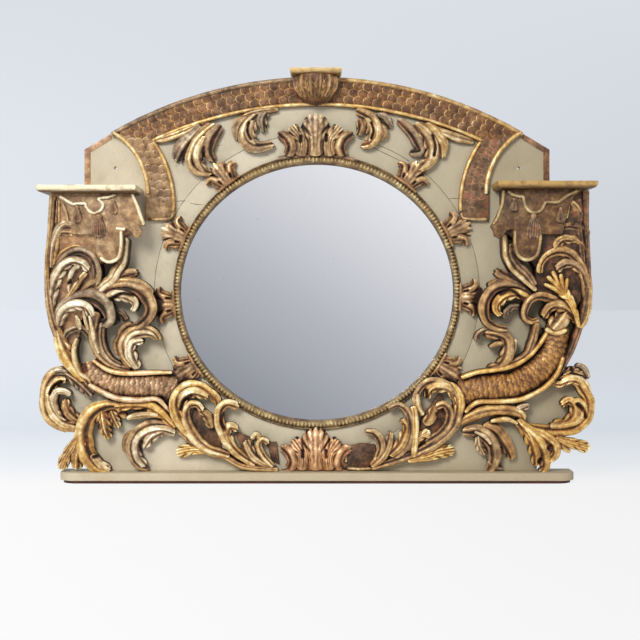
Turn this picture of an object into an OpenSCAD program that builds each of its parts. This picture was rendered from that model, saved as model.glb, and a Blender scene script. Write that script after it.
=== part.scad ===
// Overmantel mirror: a painted arched panel with carved and gilded ornament,
// an oval looking glass, two side shelves on carved consoles and a small top console.
// Millimetres. X runs left to right, Z up, and the front faces -Y. The floor is Z = 0.

/* [Base] */
// Width of the painted base board
base_w = 1416; // [1380:2:1440]
// Height of the painted base board
base_t = 22; // [18:1:26]
// How far the base board stands out in front of the panel
base_front = 52; // [46:1:64]
// Plan radius of the base board's front corners
base_corner_r = 42; // [10:1:44]
// Height of the dark strip under the base board
underlay_t = 8; // [5:1:12]
// How far the dark strip stands back from the board's edge
underlay_inset = 8; // [3:1:12]

/* [Panel] */
// Thickness of the painted panel
panel_t = 24; // [20:1:30]
// Depth of the ledges nailed to the back of the panel
batten_t = 20; // [14:1:26]
// Width of the ledges
batten_w = 60; // [50:1:70]
// Half the width of the panel's square shoulders
shoulder_half_w = 644; // [638:1:650]
// Height of the arch's crown above the base board
arch_crown = 1088; // [1086:1:1094]

/* [Oval frame] */
// Half the width of the opening in the sight moulding
sight_a = 378; // [374:1:382]
// Half the height of the opening in the sight moulding
sight_b = 354; // [350:1:358]
// Height of the oval's centre above the base board
oval_z = 494; // [492:1:496]
// Width of the sight moulding at the sides
bead_side_w = 20; // [17:1:21]
// Width of the sight moulding at the top and bottom
bead_end_w = 28; // [24:1:29]
// How far the sight moulding stands out from the panel
bead_h = 18; // [14:1:24]
// Half the width of the loose oval frame board
frame_a = 450; // [446:1:454]
// Half the height of the loose oval frame board
frame_b = 440; // [436:1:444]
// Open seam between the oval frame board and the panel
seam = 0.6; // [0.3:0.1:1.2]

/* [Mirror] */
// Thickness of the glass
glass_t = 5; // [3:0.5:6]
// Depth of wood in front of the glass
lip_t = 4; // [3:0.5:6]
// How far the lip laps over the edge of the glass
lip_lap = 8; // [6:0.5:10]
// Free space between the edge of the glass and its rebate
glass_clearance = 1.5; // [0.8:0.1:2.5]
// Thickness of the thin boards behind the glass
backboard_t = 6; // [4:0.5:8]
// Length of a glued block behind the glass
block_l = 46; // [30:1:60]
// Number of glued blocks round the glass
block_count = 12; // [8:1:16]

/* [Arch band] */
// Thickness of the scaled band's ground
band_t = 12; // [8:1:16]
// Height of the gilded fillets at the edges of the band
fillet_h = 20; // [16:1:26]
// Width of the outer fillet
fillet_outer_w = 12; // [8:1:16]
// Width of the inner fillet
fillet_inner_w = 9; // [6:1:12]

/* [Shelves] */
// Width of a side shelf
shelf_w = 266; // [250:1:280]
// Overall width over the two side shelves
shelf_span = 1500; // [1490:1:1504]
// Thickness of a side shelf
shelf_t = 19; // [15:1:24]
// How far a side shelf stands out from the panel
shelf_depth = 136; // [126:1:146]
// Height of the left shelf's top above the base board
shelf_z_left = 780; // [776:1:786]
// Height of the right shelf's top above the base board
shelf_z_right = 791; // [788:1:796]
// Width of the ovolo worked on a shelf's edges
ovolo = 13; // [9:1:14]

/* [Top console] */
// Width of the small top shelf
top_w = 142; // [130:1:152]
// Thickness of the small top shelf
top_t = 16; // [13:1:20]
// How far the small top shelf stands out from the panel
top_depth = 72; // [66:1:80]
// Radius of the carved cup under the small top shelf
cup_r = 58; // [50:1:62]

/* [Carving] */
// Height of all leaf carving, as a share of the drawn height
relief = 1; // [0.85:0.01:1.1]
// Thickness of the lambrequin boards
lambrequin_t = 14; // [10:1:18]
// How far the console blocks stand out under the shelves
block_depth = 84; // [78:1:88]
// Thickness of the cords and tassels on the lambrequins
tassel_t = 9; // [6:1:12]
// Diameter of the two wall screw holes
screw_d = 6; // [4:0.5:8]
// Distance between the two wall screw holes
screw_pitch = 1116; // [1100:1:1130]
// Height of the wall screw holes above the base board
screw_z = 838; // [828:1:848]

/* [Hidden] */
$fn = 48;

base_z = base_t + underlay_t;
drawn_base_z = 30;
wall_y = 90;
panel_back_y = wall_y - batten_t;
panel_y = panel_back_y - panel_t;
bead_a = sight_a + bead_side_w;
bead_b = sight_b + bead_end_w;
frame_lap = 4;
rebate_a = sight_a + frame_lap + lip_lap;
rebate_b = sight_b + frame_lap + lip_lap;
glass_a = rebate_a - glass_clearance;
glass_b = rebate_b - glass_clearance;
block_t = panel_t - lip_t - glass_t - backboard_t - 1;

// The arch's two circles, found from the crown and the drawn springing points
arch_r = 1125.6;
arch_inner_r = 1079;
arch_inner_crown = 1008;
leg_outer_r = 190;
leg_inner_r = 307;
leg_outer_edge = 473;
leg_outer_x = leg_outer_edge + leg_outer_r;
leg_outer_z = 767;
leg_inner_edge = 391;
leg_inner_x = leg_inner_edge + leg_inner_r;
leg_inner_z = 735;
leg_foot_z = 691;
spring_x = 570;

gold = "#c9a24a";
old_gold = "#a8823c";
bole = "#8e4a38";
brown_gilt = "#6b4a2c";
red_gilt = "#a8683f";
stone_paint = "#cfc5aa";
pine = "#b58a5a";

// Smooth curve through hand-placed points, with k steps from one to the next
function blend_point(p, i, t) =
  let (a = p[max(i - 1, 0)], b = p[i], c = p[i + 1], d = p[min(i + 2, len(p) - 1)])
  0.5 * (2 * b + (c - a) * t + (2 * a - 5 * b + 4 * c - d) * t * t + (3 * b - a - 3 * c + d) * t * t * t);
function smooth(p, k) =
  [for (i = [0:len(p) - 2]) for (j = [0:k - 1]) blend_point(p, i, j / k), p[len(p) - 1]];
function aim(c, i) =
  let (a = c[max(i - 1, 0)], b = c[min(i + 1, len(c) - 1)], v = [b.x - a.x, b.y - a.y])
  v / norm(v);
function ellipse(a, b, n = 120) = [for (i = [0:n - 1]) [a * cos(360 * i / n), b * sin(360 * i / n)]];
function mirrored(list) = [for (p = list) [for (q = p) [-q[0], q[1], q[2], q[3]]]];
function arc(x, z, r, from, to, n = 16) =
  [for (i = [0:n]) let (a = from + (to - from) * i / n) [x + r * cos(a), z + r * sin(a)]];

// Cross-section of a carved leaf: a seat on the ground, swelling sides and a crest
leaf_section = [[-1, 0], [-0.92, 0.5], [0, 1], [0.92, 0.5], [1, 0]];
function cut(c, i, back) = let (d = aim(c, i), p = c[i], h = max(p[2] * relief, back + 2))
  [for (s = leaf_section) [p.x - d.y * p[3] * s.x, p.y + d.x * p[3] * s.x, back + (h - back) * s.y]];

// One carved stroke along points of [x, height on the wall, relief, half width]
module stroke(points, k = 2, back = 0) {
  c = smooth(points, k);
  for (i = [0:len(c) - 2])
    hull()
      polyhedron(concat(cut(c, i, back), cut(c, i + 1, back)), [[0, 1, 2, 3, 4], [5, 6, 7, 8, 9]]);
}

module strokes(list, k = 2, back = 0) {
  for (p = list) stroke(p, k, back);
}

// Lays a drawing of the front, x across and y up, on the panel's face, where z is relief
module on_panel(relief_from = 0) {
  translate([0, panel_y - relief_from, base_z])
    rotate([90, 0, 0])
      children();
}

// The same for carving drawn with its heights taken from the floor
module carved() {
  on_panel()
    intersection() {
      translate([0, -drawn_base_z, 0]) children();
      translate([-1000, 0, 0]) cube([2000, 1300, 400]);
    }
}

// Drawn for the right-hand side, with s = -1 for the left
module on_side(s) {
  mirror([s < 0 ? 1 : 0, 0, 0])
    children();
}

// Extrudes a drawing of the front backwards from depth y0 to depth y1
module board(y0, y1) {
  translate([0, y1, base_z])
    rotate([90, 0, 0])
      linear_extrude(y1 - y0)
        children();
}

module base_plan(inset) {
  w = base_w / 2 - inset;
  front = panel_y - base_front + inset;
  r = base_corner_r;
  translate([-w, front + r]) square([2 * w, wall_y - front - r]);
  translate([-w + r, front]) square([2 * (w - r), r + 1]);
  for (s = [-1, 1]) translate([s * (w - r), front + r]) circle(r);
}

module base_board() {
  color(stone_paint)
    translate([0, 0, underlay_t])
      linear_extrude(base_t)
        base_plan(0);
}

module base_underlay() {
  color(bole)
    linear_extrude(underlay_t)
      base_plan(underlay_inset);
}

// Half of the panel's outline, from the middle of the foot to the shoulder
side_edge = [
  [0, 0], [606, 0], [618, 30], [634, 66], [646, 96], [660, 140], [655, 200], [636, 250],
  [650, 280], [674, 312], [692, 345], [707, 378], [718, 412], [728, 480], [732, 560],
  [728, 640], [723, 700], [722, 755]
];

module panel_outline() {
  shoulder = shoulder_half_w;
  arch_z = arch_crown - arch_r;
  for (s = [-1, 1])
    on_side(s) {
      polygon(concat(side_edge, [[shoulder, 755], [shoulder, 889], [spring_x, 934], [0, 934]]));
      translate([690, 194]) circle(r = 66);
    }
  intersection() {
    translate([0, arch_z]) circle(r = arch_r, $fn = 200);
    translate([-spring_x, 900]) square([2 * spring_x, 300]);
  }
}

module back_panel() {
  color(stone_paint)
    difference() {
      board(panel_y, panel_back_y) panel_outline();
      board(panel_y - 1, panel_back_y + 1)
        translate([0, oval_z]) polygon(ellipse(frame_a + seam, frame_b + seam));
      for (s = [-1, 1])
        translate([s * screw_pitch / 2, panel_back_y + 1, base_z + screw_z])
          rotate([90, 0, 0])
            cylinder(d = screw_d, h = panel_t + 2);
    }
}

batten_top_z = 905;
batten_bottom_z = 0;
batten_x = 500;

module batten_top() {
  color(pine)
    board(panel_back_y, wall_y)
      translate([-batten_x, batten_top_z]) square([2 * batten_x, batten_w]);
}

module batten_bottom() {
  color(pine)
    board(panel_back_y, wall_y)
      translate([-batten_x, batten_bottom_z]) square([2 * batten_x, batten_w]);
}

module side_batten(s) {
  low = batten_bottom_z + batten_w;
  color(pine)
    board(panel_back_y, wall_y)
      on_side(s)
        translate([batten_x - batten_w, low]) square([batten_w, batten_top_z - low]);
}

module batten_left() {
  side_batten(-1);
}

module batten_right() {
  side_batten(1);
}

// Painted oval board with the rebate that holds the glass
module oval_frame() {
  color(stone_paint)
    difference() {
      board(panel_y, panel_back_y)
        translate([0, oval_z]) polygon(ellipse(frame_a, frame_b));
      board(panel_y - 1, panel_back_y + 1)
        translate([0, oval_z]) polygon(ellipse(sight_a + frame_lap, sight_b + frame_lap));
      board(panel_y + lip_t, panel_back_y + 1)
        translate([0, oval_z]) polygon(ellipse(rebate_a, rebate_b));
    }
}

// Section of the sight moulding: [share of its width, share of its height]
bead_section = [[0, 0], [0, 0.45], [0.25, 1], [0.6, 0.95], [0.8, 0.4], [1, 0.35], [1, 0]];

module bead_ring(n = 48) {
  m = len(bead_section);
  points = [
    for (i = [0:n - 1])
      for (s = bead_section)
        [
          (sight_a + bead_side_w * s.x) * cos(360 * i / n),
          (sight_b + bead_end_w * s.x) * sin(360 * i / n),
          bead_h * s.y
        ]
  ];
  faces = [
    for (i = [0:n - 1])
      for (j = [0:m - 1])
        for (f = [0, 1])
          let (
            a = i * m + j, b = i * m + (j + 1) % m,
            c = ((i + 1) % n) * m + j, d = ((i + 1) % n) * m + (j + 1) % m
          )
            f == 0 ? [a, d, b] : [a, c, d]
  ];
  polyhedron(points, faces);
}

module sight_moulding() {
  color(old_gold)
    on_panel()
      translate([0, oval_z, 0]) bead_ring();
}

module mirror_glass() {
  y = panel_y + lip_t;
  color("#c4c8cf")
    board(y, y + glass_t)
      translate([0, oval_z]) polygon(ellipse(glass_a, glass_b));
}

module mirror_backboard() {
  y = panel_y + lip_t + glass_t;
  color(pine)
    board(y, y + backboard_t)
      translate([0, oval_z]) polygon(ellipse(glass_a, glass_b));
}

// Small blocks glued to the wall of the rebate, behind the boards
module glazing_blocks() {
  y = panel_y + lip_t + glass_t + backboard_t;
  color(pine)
    board(y, y + block_t)
      intersection() {
        translate([0, oval_z]) polygon(ellipse(rebate_a, rebate_b));
        for (i = [0:block_count - 1]) {
          a = 360 * (i + 0.5) / block_count;
          translate([rebate_a * cos(a), oval_z + rebate_b * sin(a)])
            rotate(a)
              square([44, block_l], center = true);
        }
      }
}

// Ring between two circles drawn about the same centre
module ring(r_in, r_out) {
  difference() {
    circle(r = r_out, $fn = 200);
    circle(r = r_in, $fn = 200);
  }
}

// Half of the arch band's place: above the mitre with the leg and on one side of the middle
module band_place() {
  polygon([
    [0, 900], [leg_mitre[1].x, leg_mitre[1].y], [leg_mitre[0].x, leg_mitre[0].y],
    [spring_x, 1200], [0, 1200]
  ]);
}

// One half of the band: each of its edges is an arc with a radius and a centre of its own
module arch_band(s) {
  arch_z = arch_crown - arch_r;
  inner_z = arch_inner_crown - arch_inner_r;
  color(brown_gilt)
    on_side(s) {
      board(panel_y - band_t, panel_y)
        intersection() {
          difference() {
            translate([0, arch_z]) circle(r = arch_r, $fn = 200);
            translate([0, inner_z]) circle(r = arch_inner_r, $fn = 200);
          }
          band_place();
        }
      board(panel_y - fillet_h, panel_y)
        intersection() {
          union() {
            translate([0, arch_z]) ring(arch_r - fillet_outer_w, arch_r);
            translate([0, inner_z]) ring(arch_inner_r, arch_inner_r + fillet_inner_w);
          }
          band_place();
        }
    }
}

module arch_band_left() {
  arch_band(-1);
}

module arch_band_right() {
  arch_band(1);
}

leg_corner_r = 25;
leg_mitre = [[570, 934], [450, 911]];

// Front outline of a leg: inner arc down to a rounded toe, then the outer arc up to the mitre
module leg_outline(top) {
  foot = leg_foot_z + leg_corner_r;
  rise = 180 - asin((leg_mitre[1].y - leg_inner_z) / leg_inner_r);
  turn = 180 + asin((leg_inner_z - foot) / leg_inner_r);
  toe = leg_inner_x + leg_inner_r * cos(turn);
  polygon(concat(
    [leg_mitre[0], leg_mitre[1]],
    arc(leg_inner_x, leg_inner_z, leg_inner_r, rise, turn),
    arc(toe + leg_corner_r, foot, leg_corner_r, 190, 270, 6),
    [[498, leg_foot_z], [498, top], [leg_outer_x - leg_outer_r, top]],
    arc(leg_outer_x, leg_outer_z, leg_outer_r, 180, 121)
  ));
}

// Strip of a leg's arc, w wide, from the radius r inwards or outwards
module leg_strip(x, z, r, w, from, to) {
  polygon(concat(arc(x, z, r, from, to), arc(x, z, r + w, to, from)));
}

// The small foot of the outer fillet runs under the shelf's end
module arch_leg(s, shelf_z) {
  top = min(leg_outer_z - 2, shelf_z - shelf_t);
  color(brown_gilt)
    on_side(s) {
      board(panel_y - band_t, panel_y) leg_outline(top);
      board(panel_y - fillet_h, panel_y - band_t)
        intersection() {
          leg_outline(top);
          union() {
            leg_strip(leg_outer_x, leg_outer_z, leg_outer_r, fillet_outer_w, 180, 118);
            leg_strip(leg_inner_x, leg_inner_z, leg_inner_r + 5, -fillet_inner_w - 5, 144, 184);
            translate([460, top - 15]) square([38, 15]);
            translate([420, leg_foot_z]) square([60, 8]);
          }
        }
    }
}

module arch_leg_left() {
  difference() {
    arch_leg(-1, shelf_z_left);
    shelf_left();
  }
}

module arch_leg_right() {
  difference() {
    arch_leg(1, shelf_z_right);
    shelf_right();
  }
}

// Quarter-round edge, as a drawing of height t whose lower edge is set back
module ovolo_edge(w, t) {
  difference() {
    square([w, t]);
    difference() {
      translate([w - ovolo, 0]) square([ovolo, ovolo]);
      translate([w - ovolo, ovolo]) circle(r = ovolo);
    }
  }
}

// A shelf with an ovolo worked along its front and both ends, its top at height z
module moulded_shelf(w, depth, t, z, back = 0) {
  translate([0, panel_y + back, base_z + z - t])
    intersection() {
      rotate([90, 0, 0])
        linear_extrude(depth + back)
          for (s = [-1, 1]) on_side(s) ovolo_edge(w / 2, t);
      rotate([90, 0, -90])
        translate([0, 0, -w / 2])
          linear_extrude(w)
            ovolo_edge(depth + back, t);
    }
}

module shelf_left() {
  color(gold)
    translate([-(shelf_span - shelf_w) / 2, 0, 0])
      moulded_shelf(shelf_w, shelf_depth, shelf_t, shelf_z_left);
}

module shelf_right() {
  color(gold)
    translate([(shelf_span - shelf_w) / 2, 0, 0])
      moulded_shelf(shelf_w, shelf_depth, shelf_t, shelf_z_right);
}

top_x = -3;

module top_console_shelf() {
  color(gold)
    translate([top_x, 0, 0])
      moulded_shelf(top_w, top_depth, top_t, arch_crown + top_t, panel_t);
}

// Half bowl under the top shelf, flat against the band's fillets
module top_console_cup() {
  rise = arch_crown - arch_inner_crown;
  color(old_gold)
    translate([top_x, panel_y - fillet_h, base_z + arch_inner_crown])
      rotate(180)
        rotate_extrude(angle = 180)
          polygon(concat(
            [for (a = [-90:15:0]) [cup_r * cos(a), cup_r * (1 + sin(a))]],
            [[cup_r - 2, rise], [0, rise]]
          ));
}

// Outline of a console block seen from the front, and how far it stands out at each height
block_face = [[505, 660], [560, 620], [596, 560], [600, 490], [640, 440], [652, 374], [676, 340],
  [706, 400], [720, 460], [726, 540], [722, 640], [716, 700]];
block_face_right = [[505, 660], [560, 620], [596, 560], [600, 490], [640, 446], [700, 440],
  [720, 470], [727, 540], [723, 640], [716, 700]];
block_profile = [[84, 660], [76, 610], [62, 560], [50, 500], [42, 430], [36, 370], [30, 300]];

module console_block(face, top, s) {
  on_side(s)
    intersection() {
      board(panel_y - block_depth, panel_y)
        polygon(concat([[716, top], [505, top]], face));
      translate([480, panel_y, base_z])
        rotate([90, 0, 90])
          linear_extrude(260)
            polygon(concat(
              [[0, 300], [0, top], [-block_depth, top]],
              [for (p = block_profile) [-p.x * block_depth / block_profile[0].x, p.y]]
            ));
    }
}

module block_left() {
  console_block(block_face, shelf_z_left - shelf_t, -1);
}

module block_right() {
  console_block(block_face_right, shelf_z_right - shelf_t, 1);
}

module console_block_left() {
  color(brown_gilt) block_left();
}

module console_block_right() {
  color(brown_gilt) block_right();
}

// Apron board with one long lobe, drawn for the left console
module apron_left_outline(top) {
  polygon([
    [-716, top], [-498, top], [-488, 735], [-475, 705], [-462, 674], [-477, 672], [-471, 656],
    [-478, 643],
    [-489, 640], [-501, 656], [-516, 666], [-523, 656], [-523, 608], [-597, 608], [-598, 650],
    [-640, 649], [-662, 651], [-664, 670], [-662, 685], [-668, 705], [-680, 730], [-700, 750]
  ]);
  translate([-560, 608]) circle(r = 37);
}

module apron_right_outline(top) {
  polygon([
    [720, top], [500, top], [495, 730], [484, 700], [475, 684], [468, 670], [475, 660], [478, 645],
    [491, 638],
    [505, 646], [511, 660], [529, 664], [530, 615], [604, 615], [608, 650], [662, 650],
    [672, 690], [680, 725], [696, 756]
  ]);
  translate([567, 615]) circle(r = 37);
}

apron_y = panel_y - block_depth;
apron_h = block_depth + lambrequin_t;
rim_h = apron_h + 5;

rim_left = [
  [[-495, 788, rim_h, 4], [-485, 760, rim_h, 4], [-472, 722, rim_h, 4], [-465, 706, rim_h, 3]],
  [[-520, 692, rim_h, 4], [-526, 650, rim_h, 4], [-536, 616, rim_h, 4], [-560, 605, rim_h, 4],
   [-584, 617, rim_h, 4], [-593, 645, rim_h, 4], [-594, 676, rim_h, 4]]
];
rim_right = [
  [[503, 798, rim_h, 4], [500, 765, rim_h, 4], [488, 728, rim_h, 4], [476, 708, rim_h, 3]],
  [[534, 690, rim_h, 4], [534, 655, rim_h, 4], [544, 622, rim_h, 4], [568, 612, rim_h, 4],
   [591, 624, rim_h, 4], [600, 650, rim_h, 4], [603, 677, rim_h, 4]]
];

module lambrequin_left() {
  color(stone_paint) {
    board(apron_y - lambrequin_t, apron_y) apron_left_outline(shelf_z_left - shelf_t);
    carved() strokes(rim_left, 1, apron_h);
  }
}

module lambrequin_right() {
  color(stone_paint) {
    board(apron_y - lambrequin_t, apron_y) apron_right_outline(shelf_z_right - shelf_t);
    carved() strokes(rim_right, 1, apron_h);
  }
}

cord_h = apron_h + tassel_t;
cord_left = [
  [-692, 782, cord_h, 4], [-660, 763, cord_h, 5], [-630, 762, cord_h, 5], [-618, 744, cord_h, 5],
  [-598, 734, cord_h, 5], [-578, 744, cord_h, 5], [-574, 765, cord_h, 5], [-588, 776, cord_h, 5],
  [-556, 780, cord_h, 4], [-536, 787, cord_h, 3]
];
cord_right = [
  [514, 796, cord_h, 3], [532, 784, cord_h, 4], [556, 780, cord_h, 5], [561, 756, cord_h, 5],
  [580, 737, cord_h, 5], [602, 744, cord_h, 5], [616, 767, cord_h, 5], [650, 766, cord_h, 5],
  [672, 782, cord_h, 5], [700, 797, cord_h, 4]
];

module lambrequin_cord_left() {
  color(gold) carved() stroke(cord_left, 2, apron_h);
}

module lambrequin_cord_right() {
  color(gold) carved() stroke(cord_right, 2, apron_h);
}

// One tassel of the given drop and width, hanging from its knot
module tassel(x, z, drop, w) {
  board(apron_y - lambrequin_t - tassel_t, apron_y - lambrequin_t)
    translate([x, z - drawn_base_z]) {
      polygon([
        [-w * 0.16, 0], [w * 0.16, 0], [w * 0.3, -drop * 0.3], [w * 0.5, -drop],
        [-w * 0.5, -drop], [-w * 0.3, -drop * 0.3]
      ]);
      translate([0, -drop * 0.08]) circle(r = w * 0.2);
    }
}

module tassels_left() {
  color(old_gold) {
    tassel(-650, 750, 32, 38);
    tassel(-588, 721, 40, 44);
    tassel(-549, 768, 26, 26);
  }
}

module tassels_right() {
  color(old_gold) {
    tassel(530, 770, 26, 28);
    tassel(584, 724, 42, 44);
    tassel(655, 753, 32, 32);
  }
}

// Carving of the left console, from the outer edge inwards
cheek_l = [
  [-712, 790, 98, 9], [-718, 710, 96, 8], [-729, 620, 90, 6], [-731, 540, 84, 6], [-722, 460, 76, 8],
  [-700, 395, 66, 12], [-672, 340, 54, 14], [-640, 288, 44, 9], [-626, 268, 38, 5]
];
leaves_l = [
  [[-722, 605, 88, 5], [-714, 648, 92, 9], [-700, 680, 95, 14], [-674, 704, 92, 11]],
  [[-718, 585, 86, 5], [-700, 620, 90, 7], [-672, 642, 92, 8], [-640, 650, 88, 6]],
  [[-718, 458, 66, 6], [-721, 510, 74, 8], [-712, 560, 84, 13], [-682, 597, 90, 21],
   [-640, 610, 90, 25], [-612, 590, 84, 16], [-606, 572, 76, 6]],
  [[-704, 456, 60, 6], [-680, 487, 68, 9], [-648, 515, 72, 10], [-614, 552, 70, 12],
   [-606, 580, 62, 8]],
  [[-706, 402, 60, 6], [-701, 440, 68, 11], [-680, 475, 76, 17], [-640, 492, 82, 21],
   [-600, 485, 80, 20], [-574, 455, 68, 8]],
  [[-662, 330, 52, 12], [-674, 365, 60, 20], [-666, 402, 66, 18], [-642, 420, 66, 12],
   [-616, 406, 58, 5]]
];
branch_l = [
  [[-594, 522, 66, 9], [-560, 532, 74, 13], [-515, 541, 80, 15], [-474, 520, 80, 15],
   [-460, 480, 72, 12],
   [-478, 442, 62, 9], [-510, 420, 58, 12], [-530, 385, 54, 13], [-526, 342, 50, 11],
   [-500, 310, 42, 6]],
  [[-578, 510, 56, 6], [-545, 511, 64, 10], [-512, 506, 64, 11], [-495, 486, 52, 5]],
  [[-513, 690, 50, 5], [-510, 650, 52, 6], [-518, 615, 56, 9], [-545, 580, 62, 16],
   [-580, 550, 66, 17], [-602, 528, 64, 12]],
  [[-568, 546, 46, 6], [-540, 560, 50, 10], [-512, 567, 48, 11], [-497, 567, 40, 7]],
  [[-590, 490, 50, 11], [-578, 468, 50, 11], [-548, 473, 52, 11], [-528, 455, 42, 5]],
  [[-606, 470, 76, 10], [-604, 420, 72, 17], [-592, 372, 66, 18], [-555, 335, 58, 14],
   [-505, 310, 48, 7]]
];
scroll_l = [[-496, 312, 44, 8], [-509, 350, 54, 16], [-506, 388, 60, 18], [-478, 412, 60, 15],
  [-445, 405, 54, 10], [-431, 389, 44, 4]];
horn_l = [
  [[-645, 322, 46, 26], [-605, 296, 50, 34], [-550, 270, 52, 37], [-480, 266, 52, 37],
   [-425, 262, 48, 38], [-397, 250, 42, 44]],
  [[-624, 271, 54, 6], [-590, 253, 56, 8], [-545, 234, 58, 8], [-490, 229, 58, 7],
   [-440, 231, 54, 7], [-412, 206, 48, 6], [-397, 188, 40, 3]],
  [[-612, 338, 56, 5], [-570, 311, 58, 6], [-520, 302, 58, 6], [-450, 304, 54, 6], [-398, 304, 48, 4]]
];
ear_l = [
  [[-656, 146, 28, 7], [-690, 152, 36, 12], [-722, 176, 42, 21], [-735.6, 220, 46, 30],
   [-741, 262, 44, 15], [-722, 290, 42, 15], [-690, 300, 34, 10]],
  [[-728, 232, 50, 8], [-716, 252, 52, 8], [-688, 256, 44, 6]],
  [[-694, 288, 36, 9], [-664, 270, 38, 14], [-640, 256, 32, 8]]
];
foot_l = [
  [[-384, 150, 34, 6], [-412, 185, 40, 12], [-450, 203, 46, 18], [-510, 203, 48, 18],
   [-570, 195, 48, 18], [-618, 160, 46, 17], [-632, 118, 44, 17], [-618, 72, 42, 19],
   [-596, 28, 38, 20]],
  [[-592, 192, 44, 12], [-578, 160, 44, 18], [-572, 134, 34, 9]],
  [[-556, 192, 42, 10], [-550, 160, 36, 9]],
  [[-650, 135, 34, 9], [-684, 98, 34, 13], [-712, 66, 26, 8]],
  [[-648, 118, 36, 10], [-680, 78, 34, 13], [-706, 50, 28, 11]],
  [[-645, 100, 38, 12], [-655, 66, 36, 16], [-640, 40, 32, 12]]
];
foot_curl_l = [
  [[-386, 148, 30, 6], [-430, 157, 34, 8], [-480, 142, 40, 11], [-503, 100, 42, 13],
   [-492, 62, 38, 9], [-470, 42, 30, 7]],
  [[-395, 136, 26, 7], [-440, 128, 32, 11], [-468, 100, 30, 6]],
  [[-500, 128, 26, 10], [-522, 106, 24, 11], [-524, 88, 20, 8]]
];
base_l = [
  [[-300, 90, 30, 6], [-350, 130, 38, 11], [-381, 190, 46, 13], [-372, 243, 50, 15],
   [-335, 258, 50, 14], [-292, 236, 44, 11], [-268, 204, 32, 5]],
  [[-250, 72, 30, 6], [-310, 107, 34, 8], [-350, 145, 42, 11], [-360, 188, 44, 12],
   [-334, 214, 38, 6], [-300, 190, 34, 5], [-276, 170, 30, 4]],
  [[-150, 42, 30, 7], [-215, 70, 40, 12], [-256, 120, 46, 14], [-262, 170, 48, 13],
   [-240, 204, 44, 9], [-208, 210, 32, 4]],
  [[-140, 44, 30, 5], [-195, 72, 36, 9], [-228, 112, 42, 11], [-238, 150, 38, 7],
   [-205, 139, 32, 5], [-178, 122, 30, 5]]
];

// Stems and short leaves of the base, drawn from point to point
base_stems_l = [
  [[-104, 42, 30, 5], [-136, 60, 38, 9], [-152, 94, 42, 9], [-142, 114, 34, 5]],
  [[-150, 60, 30, 9], [-172, 84, 36, 11], [-188, 110, 30, 5]],
  [[-386, 160, 32, 7], [-352, 114, 34, 8], [-300, 84, 34, 8], [-240, 60, 34, 8], [-185, 40, 32, 7],
   [-110, 36, 30, 5]],
  [[-300, 86, 26, 6], [-335, 88, 32, 14], [-360, 88, 34, 19], [-380, 84, 24, 9]]
];
base_floor_l = [
  [[-352, 150], [-340, 205], [-278, 170], [-262, 90], [-310, 105]],
  [[-228, 140], [-178, 120], [-170, 62], [-205, 78]],
  [[-140, 110], [-112, 110], [-104, 48], [-126, 60]]
];

// Carving of the right console
cheek_r = [
  [726, 800, 98, 7], [727, 710, 96, 7], [732, 640, 92, 6], [735, 560, 86, 6], [729, 480, 78, 7],
  [712, 415, 68, 9], [690, 352, 56, 8], [662, 300, 46, 7], [640, 276, 40, 5]
];
leaves_r = [
  [[732, 600, 88, 5], [722, 636, 92, 9], [696, 658, 94, 12], [655, 655, 88, 10]],
  [[726, 680, 90, 7], [708, 716, 92, 11], [693, 760, 88, 8]],
  [[722, 458, 66, 6], [727, 510, 74, 8], [720, 566, 84, 13], [690, 602, 90, 18], [645, 610, 90, 18],
   [612, 590, 82, 10], [608, 572, 74, 5]],
  [[708, 440, 62, 5], [690, 480, 68, 6], [662, 510, 72, 8], [640, 540, 74, 18], [630, 568, 66, 18]],
  [[702, 450, 64, 6], [678, 478, 72, 13], [636, 503, 80, 14], [592, 495, 80, 12], [571, 470, 74, 9],
   [592, 445, 62, 4]],
  [[692, 462, 66, 6], [660, 480, 72, 9], [628, 476, 68, 7], [619, 464, 60, 4]]
];
branch_r = [
  [[590, 520, 66, 8], [560, 531, 74, 12], [510, 541, 80, 14], [470, 518, 78, 12], [457, 480, 72, 10],
   [472, 442, 62, 9], [505, 425, 56, 10], [530, 396, 50, 7]],
  [[570, 510, 56, 6], [535, 511, 64, 9], [500, 500, 62, 10], [491, 478, 50, 4]],
  [[513, 688, 50, 5], [510, 650, 52, 6], [518, 612, 56, 8], [545, 575, 62, 12], [575, 545, 66, 13],
   [602, 522, 64, 10]],
  [[566, 548, 46, 6], [535, 563, 50, 11], [508, 568, 48, 11], [494, 568, 40, 6]],
  [[576, 480, 50, 9], [548, 478, 52, 9], [520, 468, 42, 5]],
  [[572, 470, 60, 8], [586, 425, 64, 10], [588, 385, 62, 10], [566, 345, 54, 8]]
];
scroll_r = [
  [[510, 314, 44, 8], [503, 350, 54, 15], [500, 388, 60, 17], [476, 412, 58, 13], [446, 406, 52, 9],
   [432, 389, 44, 4]],
  [[516, 322, 42, 6], [530, 354, 50, 9], [536, 388, 42, 6]]
];
horn_r = [
  [[394, 236, 40, 46], [430, 254, 46, 46], [490, 262, 52, 44], [545, 272, 54, 44],
   [600, 305, 56, 44], [640, 352, 60, 43], [654, 400, 62, 36], [662, 450, 58, 26]],
  [[402, 184, 36, 4], [430, 206, 44, 7], [480, 214, 50, 8], [545, 222, 54, 8], [610, 250, 58, 8],
   [658, 290, 60, 8], [684, 334, 62, 7]],
  [[384, 288, 40, 4], [440, 303, 48, 6], [510, 306, 54, 7], [565, 332, 60, 8], [602, 372, 64, 8],
   [630, 426, 66, 7]]
];
ear_r = [
  [[566, 158, 28, 7], [610, 146, 36, 13], [670, 142, 40, 18], [722, 162, 44, 22],
   [745, 208, 46, 20], [742, 254, 44, 17], [716, 284, 40, 18], [668, 286, 32, 11]],
  [[712, 160, 48, 8], [702, 192, 50, 9], [684, 220, 40, 5]]
];
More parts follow.
